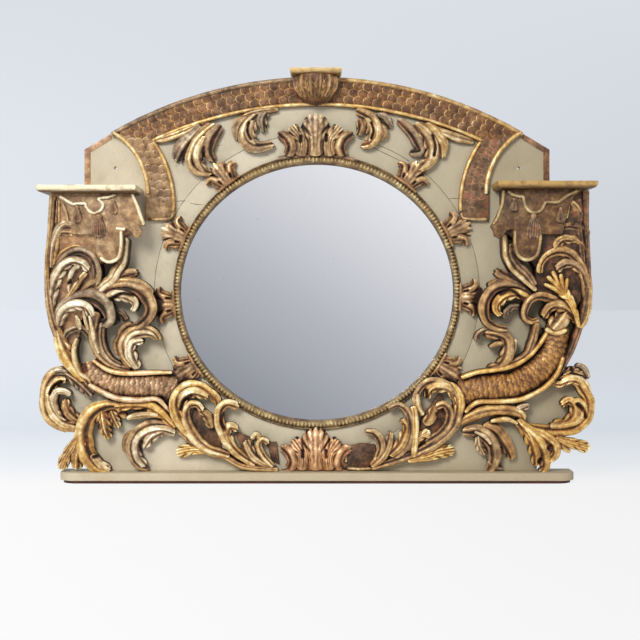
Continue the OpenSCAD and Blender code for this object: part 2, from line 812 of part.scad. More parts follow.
foot_r = [
  [[392, 155, 34, 8], [430, 176, 42, 13], [475, 188, 46, 16], [525, 188, 46, 17],
   [562, 172, 42, 16], [590, 140, 44, 20], [615, 105, 46, 27], [626, 70, 42, 24], [624, 28, 34, 16]],
  [[560, 196, 40, 10], [576, 212, 32, 7]],
  [[645, 118, 32, 9], [695, 110, 34, 17], [738, 98, 24, 9]]
];
foot_curl_r = [
  [[388, 140, 32, 7], [430, 142, 38, 10], [466, 122, 42, 13], [481, 85, 40, 12], [478, 62, 34, 8],
   [492, 40, 26, 7]],
  [[430, 150, 34, 6], [490, 140, 40, 8], [516, 104, 38, 9], [533, 72, 24, 4]],
  [[462, 118, 32, 9], [450, 92, 24, 6]]
];
base_r = [
  [[232, 66, 30, 6], [300, 92, 36, 8], [358, 130, 42, 12], [386, 180, 46, 14], [384, 232, 50, 16],
   [345, 268, 50, 15], [298, 254, 44, 11], [279, 218, 38, 8], [288, 188, 28, 4]],
  [[235, 72, 30, 6], [300, 105, 34, 9], [350, 142, 40, 15], [368, 188, 42, 15], [352, 240, 32, 6]],
  [[232, 72, 32, 7], [262, 120, 42, 12], [273, 162, 46, 12], [270, 203, 36, 5]],
  [[150, 44, 30, 6], [205, 80, 38, 10], [237, 122, 42, 12], [245, 160, 32, 5]],
  [[203, 200, 34, 4], [228, 209, 42, 7], [255, 188, 46, 10], [258, 135, 44, 10], [215, 76, 34, 7]]
];

// Stems and short leaves of the base, drawn from point to point
base_stems_r = [
  [[144, 40, 28, 6], [172, 78, 36, 12], [170, 116, 38, 13], [143, 139, 28, 5]],
  [[146, 42, 28, 5], [180, 74, 34, 8], [194, 110, 36, 7], [196, 134, 28, 4]],
  [[240, 88, 30, 7], [268, 116, 38, 9], [300, 133, 30, 6]],
  [[330, 100, 32, 7], [270, 68, 34, 8], [205, 45, 32, 8], [92, 36, 28, 5], [84, 66, 32, 6],
   [92, 98, 30, 5]],
  [[250, 56, 26, 7], [305, 72, 34, 14], [350, 86, 36, 19], [376, 72, 26, 9]]
];
base_floor_r = [
  [[84, 40], [84, 98], [120, 107], [160, 104], [165, 65], [140, 38]],
  [[290, 180], [340, 245], [370, 200], [350, 140], [262, 84], [275, 130]]
];

// Loose sprays under the arch
spray_outer_l = [
  [[-245, 1000, 22, 6], [-290, 972, 28, 9], [-322, 925, 32, 10], [-334, 880, 30, 10],
   [-302, 850, 20, 4]],
  [[-298, 976, 22, 7], [-338, 940, 28, 13], [-372, 908, 22, 14]],
  [[-256, 992, 20, 8], [-280, 950, 26, 15], [-290, 910, 20, 10]],
  [[-306, 972, 20, 6], [-350, 953, 24, 8], [-396, 943, 20, 7], [-434, 940, 14, 3]]
];
spray_inner_l = [
  [[-105, 1026, 20, 5], [-150, 1010, 26, 9], [-182, 968, 32, 15], [-172, 932, 28, 9],
   [-126, 930, 16, 3]],
  [[-178, 998, 20, 8], [-208, 968, 24, 14], [-212, 946, 18, 10]],
  [[-135, 1012, 20, 9], [-152, 990, 24, 10], [-150, 974, 16, 5]]
];
spray_inner_r = [
  [[62, 1029, 20, 4], [115, 1016, 26, 10], [152, 980, 32, 15], [152, 940, 26, 9], [132, 927, 16, 3]],
  [[105, 1014, 22, 9], [120, 990, 26, 11], [118, 970, 18, 5]],
  [[160, 1008, 20, 9], [185, 988, 24, 9], [170, 955, 22, 9]]
];
spray_outer_r = [
  [[212, 1000, 20, 5], [268, 986, 26, 10], [308, 950, 32, 14], [318, 905, 28, 9], [288, 872, 16, 3]],
  [[245, 990, 20, 8], [270, 950, 26, 14], [284, 914, 20, 10]],
  [[318, 973, 22, 8], [340, 940, 26, 10], [343, 908, 20, 7]],
  [[325, 970, 20, 6], [380, 952, 24, 9], [432, 939, 14, 3]]
];

module cheek_left() {
  color(old_gold)
    difference() {
      carved() stroke(cheek_l);
      block_left();
      lambrequin_left();
    }
}

module cheek_right() {
  color(old_gold)
    difference() {
      carved() stroke(cheek_r);
      block_right();
      lambrequin_right();
    }
}

module console_leaves_left() {
  color(gold)
    difference() {
      carved() strokes(leaves_l);
      block_left();
      lambrequin_left();
      carved() stroke(cheek_l);
    }
}

module console_leaves_right() {
  color(gold)
    difference() {
      carved() strokes(leaves_r);
      block_right();
      lambrequin_right();
      carved() stroke(cheek_r);
    }
}

module branch_leaf_left() {
  color(gold)
    difference() {
      carved() strokes(branch_l);
      block_left();
      carved() strokes(leaves_l);
      carved() strokes(horn_l);
      lambrequin_left();
    }
}

module branch_leaf_right() {
  color(gold)
    difference() {
      carved() strokes(branch_r);
      block_right();
      carved() strokes(leaves_r);
      carved() strokes(horn_r);
      lambrequin_right();
    }
}

module c_scroll_left() {
  color(gold)
    difference() {
      carved() stroke(scroll_l, 3);
      carved() strokes(branch_l);
      carved() strokes(horn_l);
    }
}

module c_scroll_right() {
  color(gold)
    difference() {
      carved() strokes(scroll_r, 3);
      carved() strokes(branch_r);
      carved() strokes(horn_r);
    }
}

module scaled_horn_left() {
  color(brown_gilt)
    difference() {
      carved() strokes(horn_l);
      block_left();
      carved() stroke(cheek_l);
      carved() strokes(leaves_l);
    }
}

module scaled_horn_right() {
  color(brown_gilt)
    difference() {
      carved() strokes(horn_r);
      block_right();
      carved() stroke(cheek_r);
      carved() strokes(leaves_r);
    }
}

module floors(list, h) {
  for (p = list) linear_extrude(h) polygon(p);
}

module base_carving_left() {
  carved() {
    strokes(base_l);
    strokes(base_stems_l, k = 1);
    floors(base_floor_l, 12);
  }
}

module base_carving_right() {
  carved() {
    strokes(base_r);
    strokes(base_stems_r, k = 1);
    floors(base_floor_r, 12);
  }
}

module base_leaves_left() {
  color(gold)
    difference() {
      base_carving_left();
      carved() strokes(horn_l);
      sight_moulding();
      bottom_palmette();
    }
}

module base_leaves_right() {
  color(gold)
    difference() {
      base_carving_right();
      carved() strokes(horn_r);
      sight_moulding();
      bottom_palmette();
    }
}

module foot_scroll_left() {
  color(gold)
    difference() {
      carved() strokes(foot_l);
      carved() strokes(horn_l);
      base_carving_left();
    }
}

module foot_scroll_right() {
  color(gold)
    difference() {
      carved() strokes(foot_r);
      carved() strokes(horn_r);
      base_carving_right();
    }
}

module foot_leaf_left() {
  color(gold)
    difference() {
      carved() strokes(foot_curl_l);
      carved() strokes(foot_l);
      base_carving_left();
    }
}

module foot_leaf_right() {
  color(gold)
    difference() {
      carved() strokes(foot_curl_r);
      carved() strokes(foot_r);
      base_carving_right();
    }
}

module ear_scroll_left() {
  color(gold)
    difference() {
      carved() strokes(ear_l);
      carved() strokes(foot_l);
      carved() stroke(cheek_l);
      carved() strokes(horn_l);
    }
}

module ear_scroll_right() {
  color(gold)
    difference() {
      carved() strokes(ear_r);
      carved() strokes(foot_r);
      carved() stroke(cheek_r);
      carved() strokes(horn_r);
    }
}

module spray_outer_left() {
  color(gold)
    difference() {
      carved() strokes(spray_outer_l);
      arch_leg_left();
      arch_band_left();
    }
}

module spray_outer_right() {
  color(gold)
    difference() {
      carved() strokes(spray_outer_r);
      arch_leg_right();
      arch_band_right();
    }
}

module spray_inner_left() {
  color(gold)
    difference() {
      carved() strokes(spray_inner_l);
      arch_band_left();
    }
}

module spray_inner_right() {
  color(gold)
    difference() {
      carved() strokes(spray_inner_r);
      arch_band_right();
    }
}

// Half of a palmette, drawn about its foot: petals beside the middle one, then the curling side leaf
palmette_half = [
  [[10, 2, 22, 8], [22, 30, 30, 9], [14, 66, 32, 8], [24, 98, 22, 10]],
  [[26, 2, 24, 9], [52, 24, 30, 10], [46, 58, 30, 9], [52, 86, 20, 8]],
  [[46, 2, 22, 9], [74, 20, 30, 11], [72, 48, 30, 10], [92, 54, 20, 6]]
];

module palmette() {
  stroke([[0, 2, 26, 9], [0, 60, 34, 9], [0, 106, 24, 11]], 1);
  strokes(palmette_half, 1);
  strokes(mirrored(palmette_half), 1);
  linear_extrude(10) polygon([[-60, 0], [60, 0], [50, 60], [20, 84], [-20, 84], [-50, 60]]);
}

// A palmette cut off level at its foot, at height z above the base board
module seated_palmette(z, size) {
  on_panel()
    translate([-8, z, 0])
      intersection() {
        scale(size) palmette();
        translate([-200, 0, 0]) cube([400, 200, 100]);
      }
}

module top_palmette() {
  color(old_gold) seated_palmette(oval_z + bead_b, 1);
}

module bottom_palmette() {
  color(red_gilt) seated_palmette(0, 1.05);
}

// Where the clasps grip the sight moulding, as angles round its outer edge
clasp_angles_left = [128, 157, 185, 212];
clasp_angles_right = [52, 25, -2, -32];

module clasp(t) {
  a = bead_a * cos(t);
  b = bead_b * sin(t);
  translate([a, oval_z + b, 0])
    rotate(atan2(b / pow(bead_b, 2), a / pow(bead_a, 2)))
      for (i = [-1:1])
        stroke([[-2, i * 19, 24, 12], [42 - 4 * abs(i), i * 27, 15, 10]], 1);
}

module ring_clasps_left() {
  color(gold)
    difference() {
      on_panel() for (t = clasp_angles_left) clasp(t);
      sight_moulding();
      base_carving_left();
      carved() strokes(horn_l);
    }
}

module ring_clasps_right() {
  color(gold)
    difference() {
      on_panel() for (t = clasp_angles_right) clasp(t);
      sight_moulding();
      base_carving_right();
      carved() strokes(horn_r);
    }
}

base_board();
base_underlay();
back_panel();
batten_top();
batten_bottom();
batten_left();
batten_right();
oval_frame();
sight_moulding();
mirror_glass();
mirror_backboard();
glazing_blocks();
arch_band_left();
arch_band_right();
arch_leg_left();
arch_leg_right();
top_console_shelf();
top_console_cup();
top_palmette();
bottom_palmette();
shelf_left();
shelf_right();
console_block_left();
console_block_right();
lambrequin_left();
lambrequin_right();
lambrequin_cord_left();
lambrequin_cord_right();
tassels_left();
tassels_right();
cheek_left();
cheek_right();
console_leaves_left();
console_leaves_right();
branch_leaf_left();
branch_leaf_right();
c_scroll_left();
c_scroll_right();
scaled_horn_left();
scaled_horn_right();
ear_scroll_left();
ear_scroll_right();
foot_scroll_left();
foot_scroll_right();
foot_leaf_left();
foot_leaf_right();
base_leaves_left();
base_leaves_right();
ring_clasps_left();
ring_clasps_right();
spray_outer_left();
spray_outer_right();
spray_inner_left();
spray_inner_right();
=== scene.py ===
"""Overmantel mirror: a painted arched panel with carved and gilded ornament round an oval glass.

Drawing coordinates are millimetres, x across and z up from the floor, with relief measured from
the panel's face towards the front. Blender's own coordinates are metres in the CAD frame.
"""

import logging
import math
from dataclasses import dataclass, field
from enum import Enum
from functools import partial
from typing import Callable, Sequence

import bmesh
import bpy
import numpy as np
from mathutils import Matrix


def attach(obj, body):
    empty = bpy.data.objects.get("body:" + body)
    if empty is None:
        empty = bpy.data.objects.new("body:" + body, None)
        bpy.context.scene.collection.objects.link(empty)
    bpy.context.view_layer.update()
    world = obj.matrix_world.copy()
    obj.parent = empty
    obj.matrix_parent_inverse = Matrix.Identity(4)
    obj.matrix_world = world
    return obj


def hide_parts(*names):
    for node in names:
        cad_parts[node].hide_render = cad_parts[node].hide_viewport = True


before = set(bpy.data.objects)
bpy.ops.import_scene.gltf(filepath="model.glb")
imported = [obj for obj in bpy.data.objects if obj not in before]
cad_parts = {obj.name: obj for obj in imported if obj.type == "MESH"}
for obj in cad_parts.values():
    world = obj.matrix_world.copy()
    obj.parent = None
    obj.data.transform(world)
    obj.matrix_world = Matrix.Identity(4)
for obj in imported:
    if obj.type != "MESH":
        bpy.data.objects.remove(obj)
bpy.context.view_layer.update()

log = logging.getLogger("overmantel_mirror")

Drawn = Sequence[Sequence[float]]
Runs = dict[str, list[tuple[float, ...]]]
Place = Callable[[np.ndarray, np.ndarray, np.ndarray], np.ndarray]
Socket = bpy.types.NodeSocket
Tree = bpy.types.NodeTree

# Sizes that several classes share, in mm: the panel's face and back, the middle of the glass, the
# arch's circle as its radius and middle, the half axes of the moulding's outside, the least height
# of carving over its seat and how deep a board is let into what it lies on.
PANEL_FACE, PANEL_BACK = 46.0, 70.0
OVAL_HEIGHT = 524.0
ARCH = (1125.6, -7.6)
RING = (398.0, 382.0)
THINNEST = 1.2
LET_IN = 0.5
MARKS = ("crest", "hollow_dirt_and_shade", "tone", "gold")


def pairs(*run: float) -> np.ndarray:
    """Read places from x and z in turn."""
    return np.reshape(run, (-1, 2))


def on_panel(x: np.ndarray, z: np.ndarray, relief: np.ndarray) -> np.ndarray:
    """Turn drawing coordinates on the panel's face into points in metres."""
    return np.stack([x, PANEL_FACE - relief, z], axis=-1) / 1000.0


def linear(code: str) -> tuple[float, float, float, float]:
    """Turn an sRGB hex colour into linear red, green, blue and a full alpha."""
    parts = [int(code[i : i + 2], 16) / 255 for i in (1, 3, 5)]
    values = [c / 12.92 if c <= 0.04045 else ((c + 0.055) / 1.055) ** 2.4 for c in parts]
    return values[0], values[1], values[2], 1.0


def add_node(tree: Tree, kind: str, inputs: dict | None = None, out: int | str = 0,
             stops: Sequence[tuple[float, str]] = (), **settings: object) -> Socket | None:
    """Add a node with its settings, values and links.

    Args:
        tree: Node tree that receives the node.
        kind: Blender's name of the node type, without the word that shader nodes start with.
        inputs: Numbers or sockets by the name or index of the input.
        out: Name or index of the output that is handed back.
        stops: Positions and hex colours, for a colour ramp.
        settings: Properties of the node itself.

    Returns:
        The chosen output, or nothing where the node has none.
    """
    node = tree.nodes.new(kind if kind.startswith(("Geometry", "Function", "NodeGroup")) else "ShaderNode" + kind)
    for key, value in settings.items():
        setattr(node, key, value)
    for key, value in (inputs or {}).items():
        if isinstance(value, bpy.types.NodeSocket):
            tree.links.new(value, node.inputs[key])
        else:
            node.inputs[key].default_value = value
    while len(stops) > len(node.color_ramp.elements if stops else ()):
        node.color_ramp.elements.new(0.5)
    for element, (position, code) in zip(node.color_ramp.elements if stops else (), stops):
        element.position, element.color = position, linear(code)
    return node.outputs[out] if len(node.outputs) else None


def calc(tree: Tree, operation: str, *parts: Socket | float) -> Socket:
    """Join sockets or numbers with one sum and give the result."""
    return add_node(tree, "Math", dict(enumerate(parts)), operation=operation)


def blend(tree: Tree, factor: Socket | float, first: Socket | tuple, second: Socket | tuple) -> Socket:
    """Mix two colours by a factor."""
    return add_node(tree, "Mix", {"Factor": factor, "A": first, "B": second}, "Result", data_type="RGBA")


def spread(tree: Tree, value: Socket, low: float, high: float, first: float = 0.0, last: float = 1.0) -> Socket:
    """Carry a value from one range to another and hold it at the ends."""
    return add_node(tree, "MapRange", {"Value": value, "From Min": low, "From Max": high, "To Min": first,
                                       "To Max": last})


def axis(tree: Tree, place: Socket, name: str) -> Socket:
    """Take one of the coordinates X, Y and Z out of a place."""
    return add_node(tree, "SeparateXYZ", {0: place}, name)


def noise(tree: Tree, place: Socket, scale: float, detail: float = 3.0, rough: float = 0.6) -> Socket:
    """Lay an even noise whose grain is about one metre divided by its scale."""
    return add_node(tree, "TexNoise", {"Vector": place, "Scale": scale, "Detail": detail, "Roughness": rough})


def scaled(tree: Tree, colour: Socket, amount: Socket) -> Socket:
    """Brighten or darken a colour."""
    return add_node(tree, "VectorMath", {0: colour, "Scale": amount}, operation="SCALE")


def bump(tree: Tree, height: Socket, strength: float, distance: float, **under: Socket) -> Socket:
    """Raise a fine relief, in metres, over the one under it where a Normal is given."""
    return add_node(tree, "Bump", {"Height": height, "Strength": strength, "Distance": distance, **under})


def new_material(name: str) -> tuple[bpy.types.Material, Tree, Socket]:
    """Make an empty node material and give its tree and the object's own coordinates."""
    material = bpy.data.materials.new(name)
    material.use_nodes = True
    tree = material.node_tree
    tree.nodes.clear()
    return material, tree, add_node(tree, "TexCoord", out="Object")


def close_material(material: bpy.types.Material, inputs: dict[str, Socket | float]) -> bpy.types.Material:
    """End a material with one Principled shader and hand it back."""
    shader = add_node(material.node_tree, "BsdfPrincipled", inputs)
    add_node(material.node_tree, "OutputMaterial", {0: shader})
    return material


# Finishes


@dataclass(frozen=True)
class Gilding:
    """Old water gilding on carved limewood over bole.

    The leaf has a bright, rubbed skin on the raised parts, is brown with size and dust in the recesses, and is
    rubbed through to red bole in patches. The carving's own marks say where it stands out or sinks in,
    how light a stroke is and whether its leaf is yellow or greyed; they also brighten the raised parts as
    painted highlight and darken the recesses as painted shade.
    """

    name: str
    lift: float = 0.0
    warm: float = 0.5
    metal: float = 0.3
    bole: str = "#9C5238"
    bole_share: float = 0.35
    tint: str = "#FFFFFF"
    edge_light: bool = False

    def build(self) -> bpy.types.Material:
        """Build the material: rubbing, painted highlight and painted shade drive a greyed and a yellow ramp that are
        mixed in clouds.
        """
        material, tree, place = new_material(self.name)
        crest, hollow_dirt_and_shade, tone, gold = (add_node(tree, "Attribute", out="Fac", attribute_name=key) for key in MARKS)
        patches, clouds = noise(tree, place, 42, 5), noise(tree, place, 12, 3)
        rubs, specks = noise(tree, place, 130, 4, 0.7), noise(tree, place, 420, 2)
        # Repeated forms mark their rims as a painted highlight with very low values, which this turns bright.
        if self.edge_light:
            crest = spread(tree, crest, -0.8, -0.97, -0.12, 0.55)
        # The marks add painted highlight on raised parts and painted shade in recesses to the rubbing and patches.
        wear_and_shade = self.lift - 0.495
        for mark, weight in ((crest, 0.66), (patches, 1.15), (rubs, 0.6), (tone, 0.48), (hollow_dirt_and_shade, -1.0)):
            wear_and_shade = calc(tree, "MULTIPLY_ADD", mark, weight, wear_and_shade)
        warmth = calc(tree, "MULTIPLY_ADD", clouds, 0.9, self.warm - 0.45)
        warmth = add_node(tree, "Math", {0: gold, 1: warmth}, operation="ADD", use_clamp=True)
        greyed = add_node(tree, "ValToRGB", {0: wear_and_shade}, stops=[
            (0.0, "#2E1F17"), (0.3, "#69543F"), (0.58, "#A08A6E"), (0.8, "#D2BE9B"), (1.0, "#FAF0D6")])
        yellow = add_node(tree, "ValToRGB", {0: wear_and_shade}, stops=[
            (0.0, "#352011"), (0.3, "#764B25"), (0.58, "#B5833E"), (0.8, "#E0B45F"), (1.0, "#FBE9AE")])
        colour = blend(tree, warmth, greyed, yellow)
        red = spread(tree, patches, 0.54, 0.63, 0.0, self.bole_share)
        shown = calc(tree, "MULTIPLY", red, spread(tree, wear_and_shade, 0.85, 0.45))
        colour = blend(tree, shown, colour, linear(self.bole))
        colour = add_node(tree, "Mix", {"Factor": 1.0, "A": colour, "B": linear(self.tint)}, "Result",
                          data_type="RGBA", blend_type="MULTIPLY")
        colour = scaled(tree, colour, calc(tree, "MULTIPLY_ADD", specks, 0.3, 0.85))
        grain = bump(tree, specks, 0.2, 0.0005, Normal=bump(tree, rubs, 0.35, 0.0012))
        return close_material(material, {
            "Base Color": colour, "Roughness": spread(tree, wear_and_shade, 0.2, 0.9, 0.62, 0.34), "Normal": grain,
            "Metallic": spread(tree, wear_and_shade, 0.35, 0.85, 0.03, self.metal), "Specular IOR Level": 0.42})


@dataclass(frozen=True)
class ShelfEdge:
    """Gilded edge of a shelf: pale at the top, brown in the moulding below."""

    name: str
    pale: str
    brown: str
    low: float
    high: float

    def build(self) -> bpy.types.Material:
        """Build the material: two tones by height, streaked along the board."""
        material, tree, place = new_material(self.name)
        height = axis(tree, place, "Z")
        streaks = noise(tree, add_node(tree, "Mapping", {"Vector": place, "Scale": (0.15, 1.0, 1.0)}), 120, 5, 0.7)
        blots = noise(tree, place, 38, 5)
        level = calc(tree, "MULTIPLY_ADD", calc(tree, "SUBTRACT", streaks, 0.5), 0.012, height)
        toward_top = spread(tree, level, self.low / 1000, self.high / 1000)
        colour = blend(tree, toward_top, linear(self.brown), linear(self.pale))
        colour = blend(tree, spread(tree, blots, 0.5, 0.66, 0.0, 0.6), colour, linear(self.brown))
        colour = scaled(tree, colour, calc(tree, "MULTIPLY_ADD", streaks, 0.5, 0.75))
        return close_material(material, {"Base Color": colour, "Roughness": 0.48, "Metallic": 0.12,
                                         "Normal": bump(tree, streaks, 0.3, 0.0008)})


@dataclass(frozen=True)
class PaintedWood:
    """Old distemper on softwood: chalky, brush-marked, with stains and dirt in the grain."""

    name: str
    left: str
    middle: str
    right: str
    stain: str
    dirt: str
    chips: float = 0.5

    def build(self) -> bpy.types.Material:
        """Build the material: brushed coats, soft stains and chips, darker towards the right partly in the paint's own
        tone and partly as painted shade from the light on the left.
        """
        material, tree, place = new_material(self.name)
        across = axis(tree, place, "X")
        brush = noise(tree, add_node(tree, "Mapping", {"Vector": place, "Scale": (1.0, 1.0, 0.12)}), 260)
        stains, flecks, mist = noise(tree, place, 5.5, 6), noise(tree, place, 75, 6, 0.75), noise(tree, place, 16, 5)
        # Darker towards the right: partly the paint's own tone, partly painted shade from the light on the left.
        colour = add_node(tree, "ValToRGB", {0: spread(tree, across, -0.65, 0.65)}, stops=[
            (0.0, self.left), (0.25, self.middle), (1.0, self.right)])
        colour = blend(tree, spread(tree, stains, 0.62, 0.38, 0.0, 0.5), colour, linear(self.stain))
        colour = blend(tree, spread(tree, mist, 0.5, 0.68, 0.0, 0.35), colour, linear(self.stain))
        colour = blend(tree, spread(tree, flecks, 0.62, 0.72, 0.0, self.chips), colour, linear(self.dirt))
        colour = scaled(tree, colour, calc(tree, "MULTIPLY_ADD", brush, 0.12, 0.94))
        return close_material(material, {"Base Color": colour, "Normal": bump(tree, brush, 0.25, 0.0006),
                                         "Roughness": 0.6, "Specular IOR Level": 0.35})


@dataclass(frozen=True)
class BarePine:
    """Sawn softwood left bare and browned by age, with its growth rings about 7 mm apart."""

    name: str
    light: str = "#B08A5C"
    dark: str = "#7A5836"
    grain: tuple[float, float, float] = (0.1, 1.0, 1.0)

    def build(self) -> bpy.types.Material:
        """Build the material: stretched rings and a dull, open surface."""
        material, tree, place = new_material(self.name)
        along = add_node(tree, "Mapping", {"Vector": place, "Scale": self.grain})
        rings = add_node(tree, "TexNoise", {"Vector": along, "Scale": 140.0, "Detail": 5.0, "Distortion": 0.6})
        colour = blend(tree, spread(tree, rings, 0.35, 0.62), linear(self.dark), linear(self.light))
        colour = scaled(tree, colour, calc(tree, "MULTIPLY_ADD", noise(tree, place, 9, 4), 0.5, 0.72))
        return close_material(material, {"Base Color": colour, "Normal": bump(tree, rings, 0.3, 0.0008),
                                         "Roughness": 0.78})


@dataclass(frozen=True)
class SilveredGlass:
    """Silvered looking glass: a clear image, faintly grey, with slight foxing."""

    name: str
    silver: str
    fox: str

    def build(self) -> bpy.types.Material:
        """Build the material: a mirror with a little dust and a few grey spots."""
        material, tree, place = new_material(self.name)
        fade = spread(tree, noise(tree, place, 90, 4, 0.7), 0.66, 0.78, 0.0, 0.5)
        colour = blend(tree, fade, linear(self.silver), linear(self.fox))
        return close_material(material, {"Base Color": colour, "Metallic": 1.0,
                                         "Roughness": calc(tree, "MULTIPLY_ADD", fade, 0.1, 0.012)})


GILT = Gilding("Water gilding on carved limewood")
GREYED_GILT = Gilding("Greyed gilding on the sprays", lift=-0.02, warm=0.3)
# The right console's carving is darkened as painted shade, the light falling from the left.
RIGHT_SHADE_GILT = Gilding("Gilding darkened as painted shade on the right console", lift=-0.1, warm=0.55, metal=0.25)
# The right console's block and cheek are darkened further as painted shade.
SHADED = Gilding("Gilding darkened as painted shade in the consoles", lift=-0.3, metal=0.05)
# Dark plates under the base leaves stand in as painted shade between them.
GROUND_SHADE = Gilding("Brown ground darkened as painted shade between the leaves", lift=-0.2, warm=0.7, metal=0.05, bole_share=0.2)
HORN = Gilding("Gilding on scaled horns, rubbed pinkish", lift=0.2, warm=0.3, tint="#FFEDE2", bole="#B07A5C",
               bole_share=0.3)
BAND = Gilding("Brown gilding on the scaled band", lift=-0.02, warm=0.75, metal=0.15, bole="#96604C", bole_share=0.4,
               edge_light=True)
BAND_GROUND = Gilding("Brown size on the band", lift=-0.12, warm=0.75, metal=0.08, bole="#96604C", bole_share=0.4)
BEADS = Gilding("Gilding over green-grey size", warm=0.25, tint="#EFF1DE", bole_share=0.05)
TRIM = Gilding("Distempered trim with old gilding", lift=0.06, warm=0.25, metal=0.12, bole_share=0.15)
APRON_LEFT = Gilding("Pinkish distemper over gilding", lift=0.16, warm=0.25, metal=0.08, tint="#F8EEE2",
                     bole_share=0.06)
APRON_RIGHT = Gilding("Olive distemper over gilding", lift=-0.1, warm=0.4, metal=0.1, bole="#A86A48",
                      tint="#F2EBD4", bole_share=0.08)
OLIVE_TRIM = Gilding("Grey-green distemper on trim", lift=-0.2, warm=0.2, metal=0.08, tint="#E9E8D6", bole_share=0.1)
TASSEL_GREY = Gilding("Brown-grey distemper on the tassels", lift=-0.1, warm=0.15, metal=0.05, tint="#F0DFD2")
LEG_RED = Gilding("Red bole showing through the right leg", lift=0.02, metal=0.1, bole="#8E4A36",
                  bole_share=0.8, edge_light=True)
CHEEK = Gilding("Worn gilding on the consoles' sides", lift=-0.08, warm=0.55)
CLASP = Gilding("Gilding rubbed to pinkish bole", lift=-0.1, warm=0.4, tint="#FBEFE4", bole_share=0.25)
HORN_RIGHT = Gilding("Mottled gilding on the right horn", lift=0.2, warm=0.78, tint="#FBF2E2", bole="#A06848",
                     bole_share=0.3)
LEG = Gilding("Thin gilding on the legs' flat scales", lift=0.16, metal=0.1, bole="#96604C",
              bole_share=0.4, edge_light=True)
LEG_GROUND = Gilding("Mauve-brown size on the legs", lift=0.12, warm=0.4, metal=0.06, bole="#96604C", bole_share=0.4)
EDGE_GILT = Gilding("Brown-pink gilding on the shoulders' edges", lift=0.2, warm=0.25, metal=0.1, tint="#F6E0D6",
                    bole_share=0.2)
RED_GOLD = Gilding("Gilding over red bole, coppery", lift=0.18, warm=0.45, tint="#FADCCB", bole="#9C5840",
                   bole_share=0.6)
STONE = PaintedWood("Stone distemper on softwood", "#CABEA5", "#DFD3BA", "#A89B7F", "#ABA082", "#7C6B52")
BASE_STONE = PaintedWood("Stone distemper on the base", "#CBBEA3", "#C6B799", "#B2A386", "#B4A382", "#8A775C", 0.6)
CRACK_DIRT = PaintedWood("Dirt in the panel's cracks", "#5C4C3A", "#54442F", "#4A3C2E", "#3E3226", "#2C231B")
PINE, UPRIGHT = BarePine("Sawn pine, aged"), BarePine("Sawn pine, upright", grain=(1.0, 1.0, 0.1))
THIN_PINE = BarePine("Thin sawn boards", "#A07A4E", "#6E4E32")
UNDERLAY = BarePine("Red-stained batten", "#5A3028", "#3A201C")
GLASS = SilveredGlass("Silvered looking glass", "#F2F3F5", "#A0A2A4")
LEFT_SHELF = ShelfEdge("Gilded shelf edge, pale", "#FBE9C2", "#6E5436", 793.5, 799.0)
RIGHT_SHELF = ShelfEdge("Gilded shelf edge, brown", "#BF9A58", "#6A4A2A", 803.0, 812.0)
TOP_SHELF = ShelfEdge("Gilded shelf edge, golden", "#D9B87C", "#8A6438", 1119.0, 1126.0)


class Paints:
    """Builds each finish once and hands it out by its design."""

    def __init__(self) -> None:
        """Start with no material built."""
        self._built: dict[object, bpy.types.Material] = {}

    def of(self, finish: object) -> bpy.types.Material:
        """Give the material of a finish, building it the first time."""
        if finish not in self._built:
            self._built[finish] = finish.build()
        return self._built[finish]


# Meshes


def put_in_scene(name: str, data: bpy.types.ID) -> bpy.types.Object:
    """Make an object of a mesh, lamp or camera and put it into the scene."""
    made = bpy.data.objects.new(name, data)
    bpy.context.scene.collection.objects.link(made)
    return made


def link_mesh(name: str, mesh: bpy.types.Mesh, angle: float = 48.0) -> bpy.types.Object:
    """Put a mesh into the scene, smooth but for edges sharper than the angle."""
    mesh.polygons.foreach_set("use_smooth", np.ones(len(mesh.polygons), dtype=bool))
    mesh.set_sharp_from_angle(angle=math.radians(angle))
    return put_in_scene(name, mesh)


def mark(mesh: bpy.types.Mesh, key: str, values: np.ndarray) -> None:
    """Write a number on each vertex of a mesh."""
    mesh.attributes.new(key, "FLOAT", "POINT").data.foreach_set("value", values.astype(np.float32))


def build_object(name: str, points: np.ndarray, faces: Sequence[np.ndarray],
                 marks: dict[str, np.ndarray] | None = None) -> bpy.types.Object:
    """Make an object from arrays.

    Args:
        name: Name of the piece.
        points: Vertex positions in metres.
        faces: Index arrays, one face a row.
        marks: Numbers on the vertices by attribute name.

    Returns:
        The new object, linked to the scene.
    """
    mesh = bpy.data.meshes.new(name)
    counts = np.concatenate([np.full(len(f), f.shape[1]) for f in faces])
    loops = np.concatenate([f.ravel() for f in faces])
    mesh.vertices.add(len(points))
    mesh.vertices.foreach_set("co", points.astype(np.float32).ravel())
    mesh.loops.add(len(loops))
    mesh.loops.foreach_set("vertex_index", loops.astype(np.int32))
    mesh.polygons.add(len(counts))
    mesh.polygons.foreach_set("loop_start", np.concatenate([[0], np.cumsum(counts)[:-1]]).astype(np.int32))
    mesh.polygons.foreach_set("loop_total", counts.astype(np.int32))
    mesh.update(calc_edges=True)
    for key, values in (marks or {}).items():
        mark(mesh, key, values)
    mesh.validate()
    return link_mesh(name, mesh)


def run_along(line: np.ndarray) -> np.ndarray:
    """Measure the distance from a line's start to each of its points."""
    return np.concatenate([[0], np.cumsum(np.linalg.norm(np.diff(line[:, :2], axis=0), axis=1))])


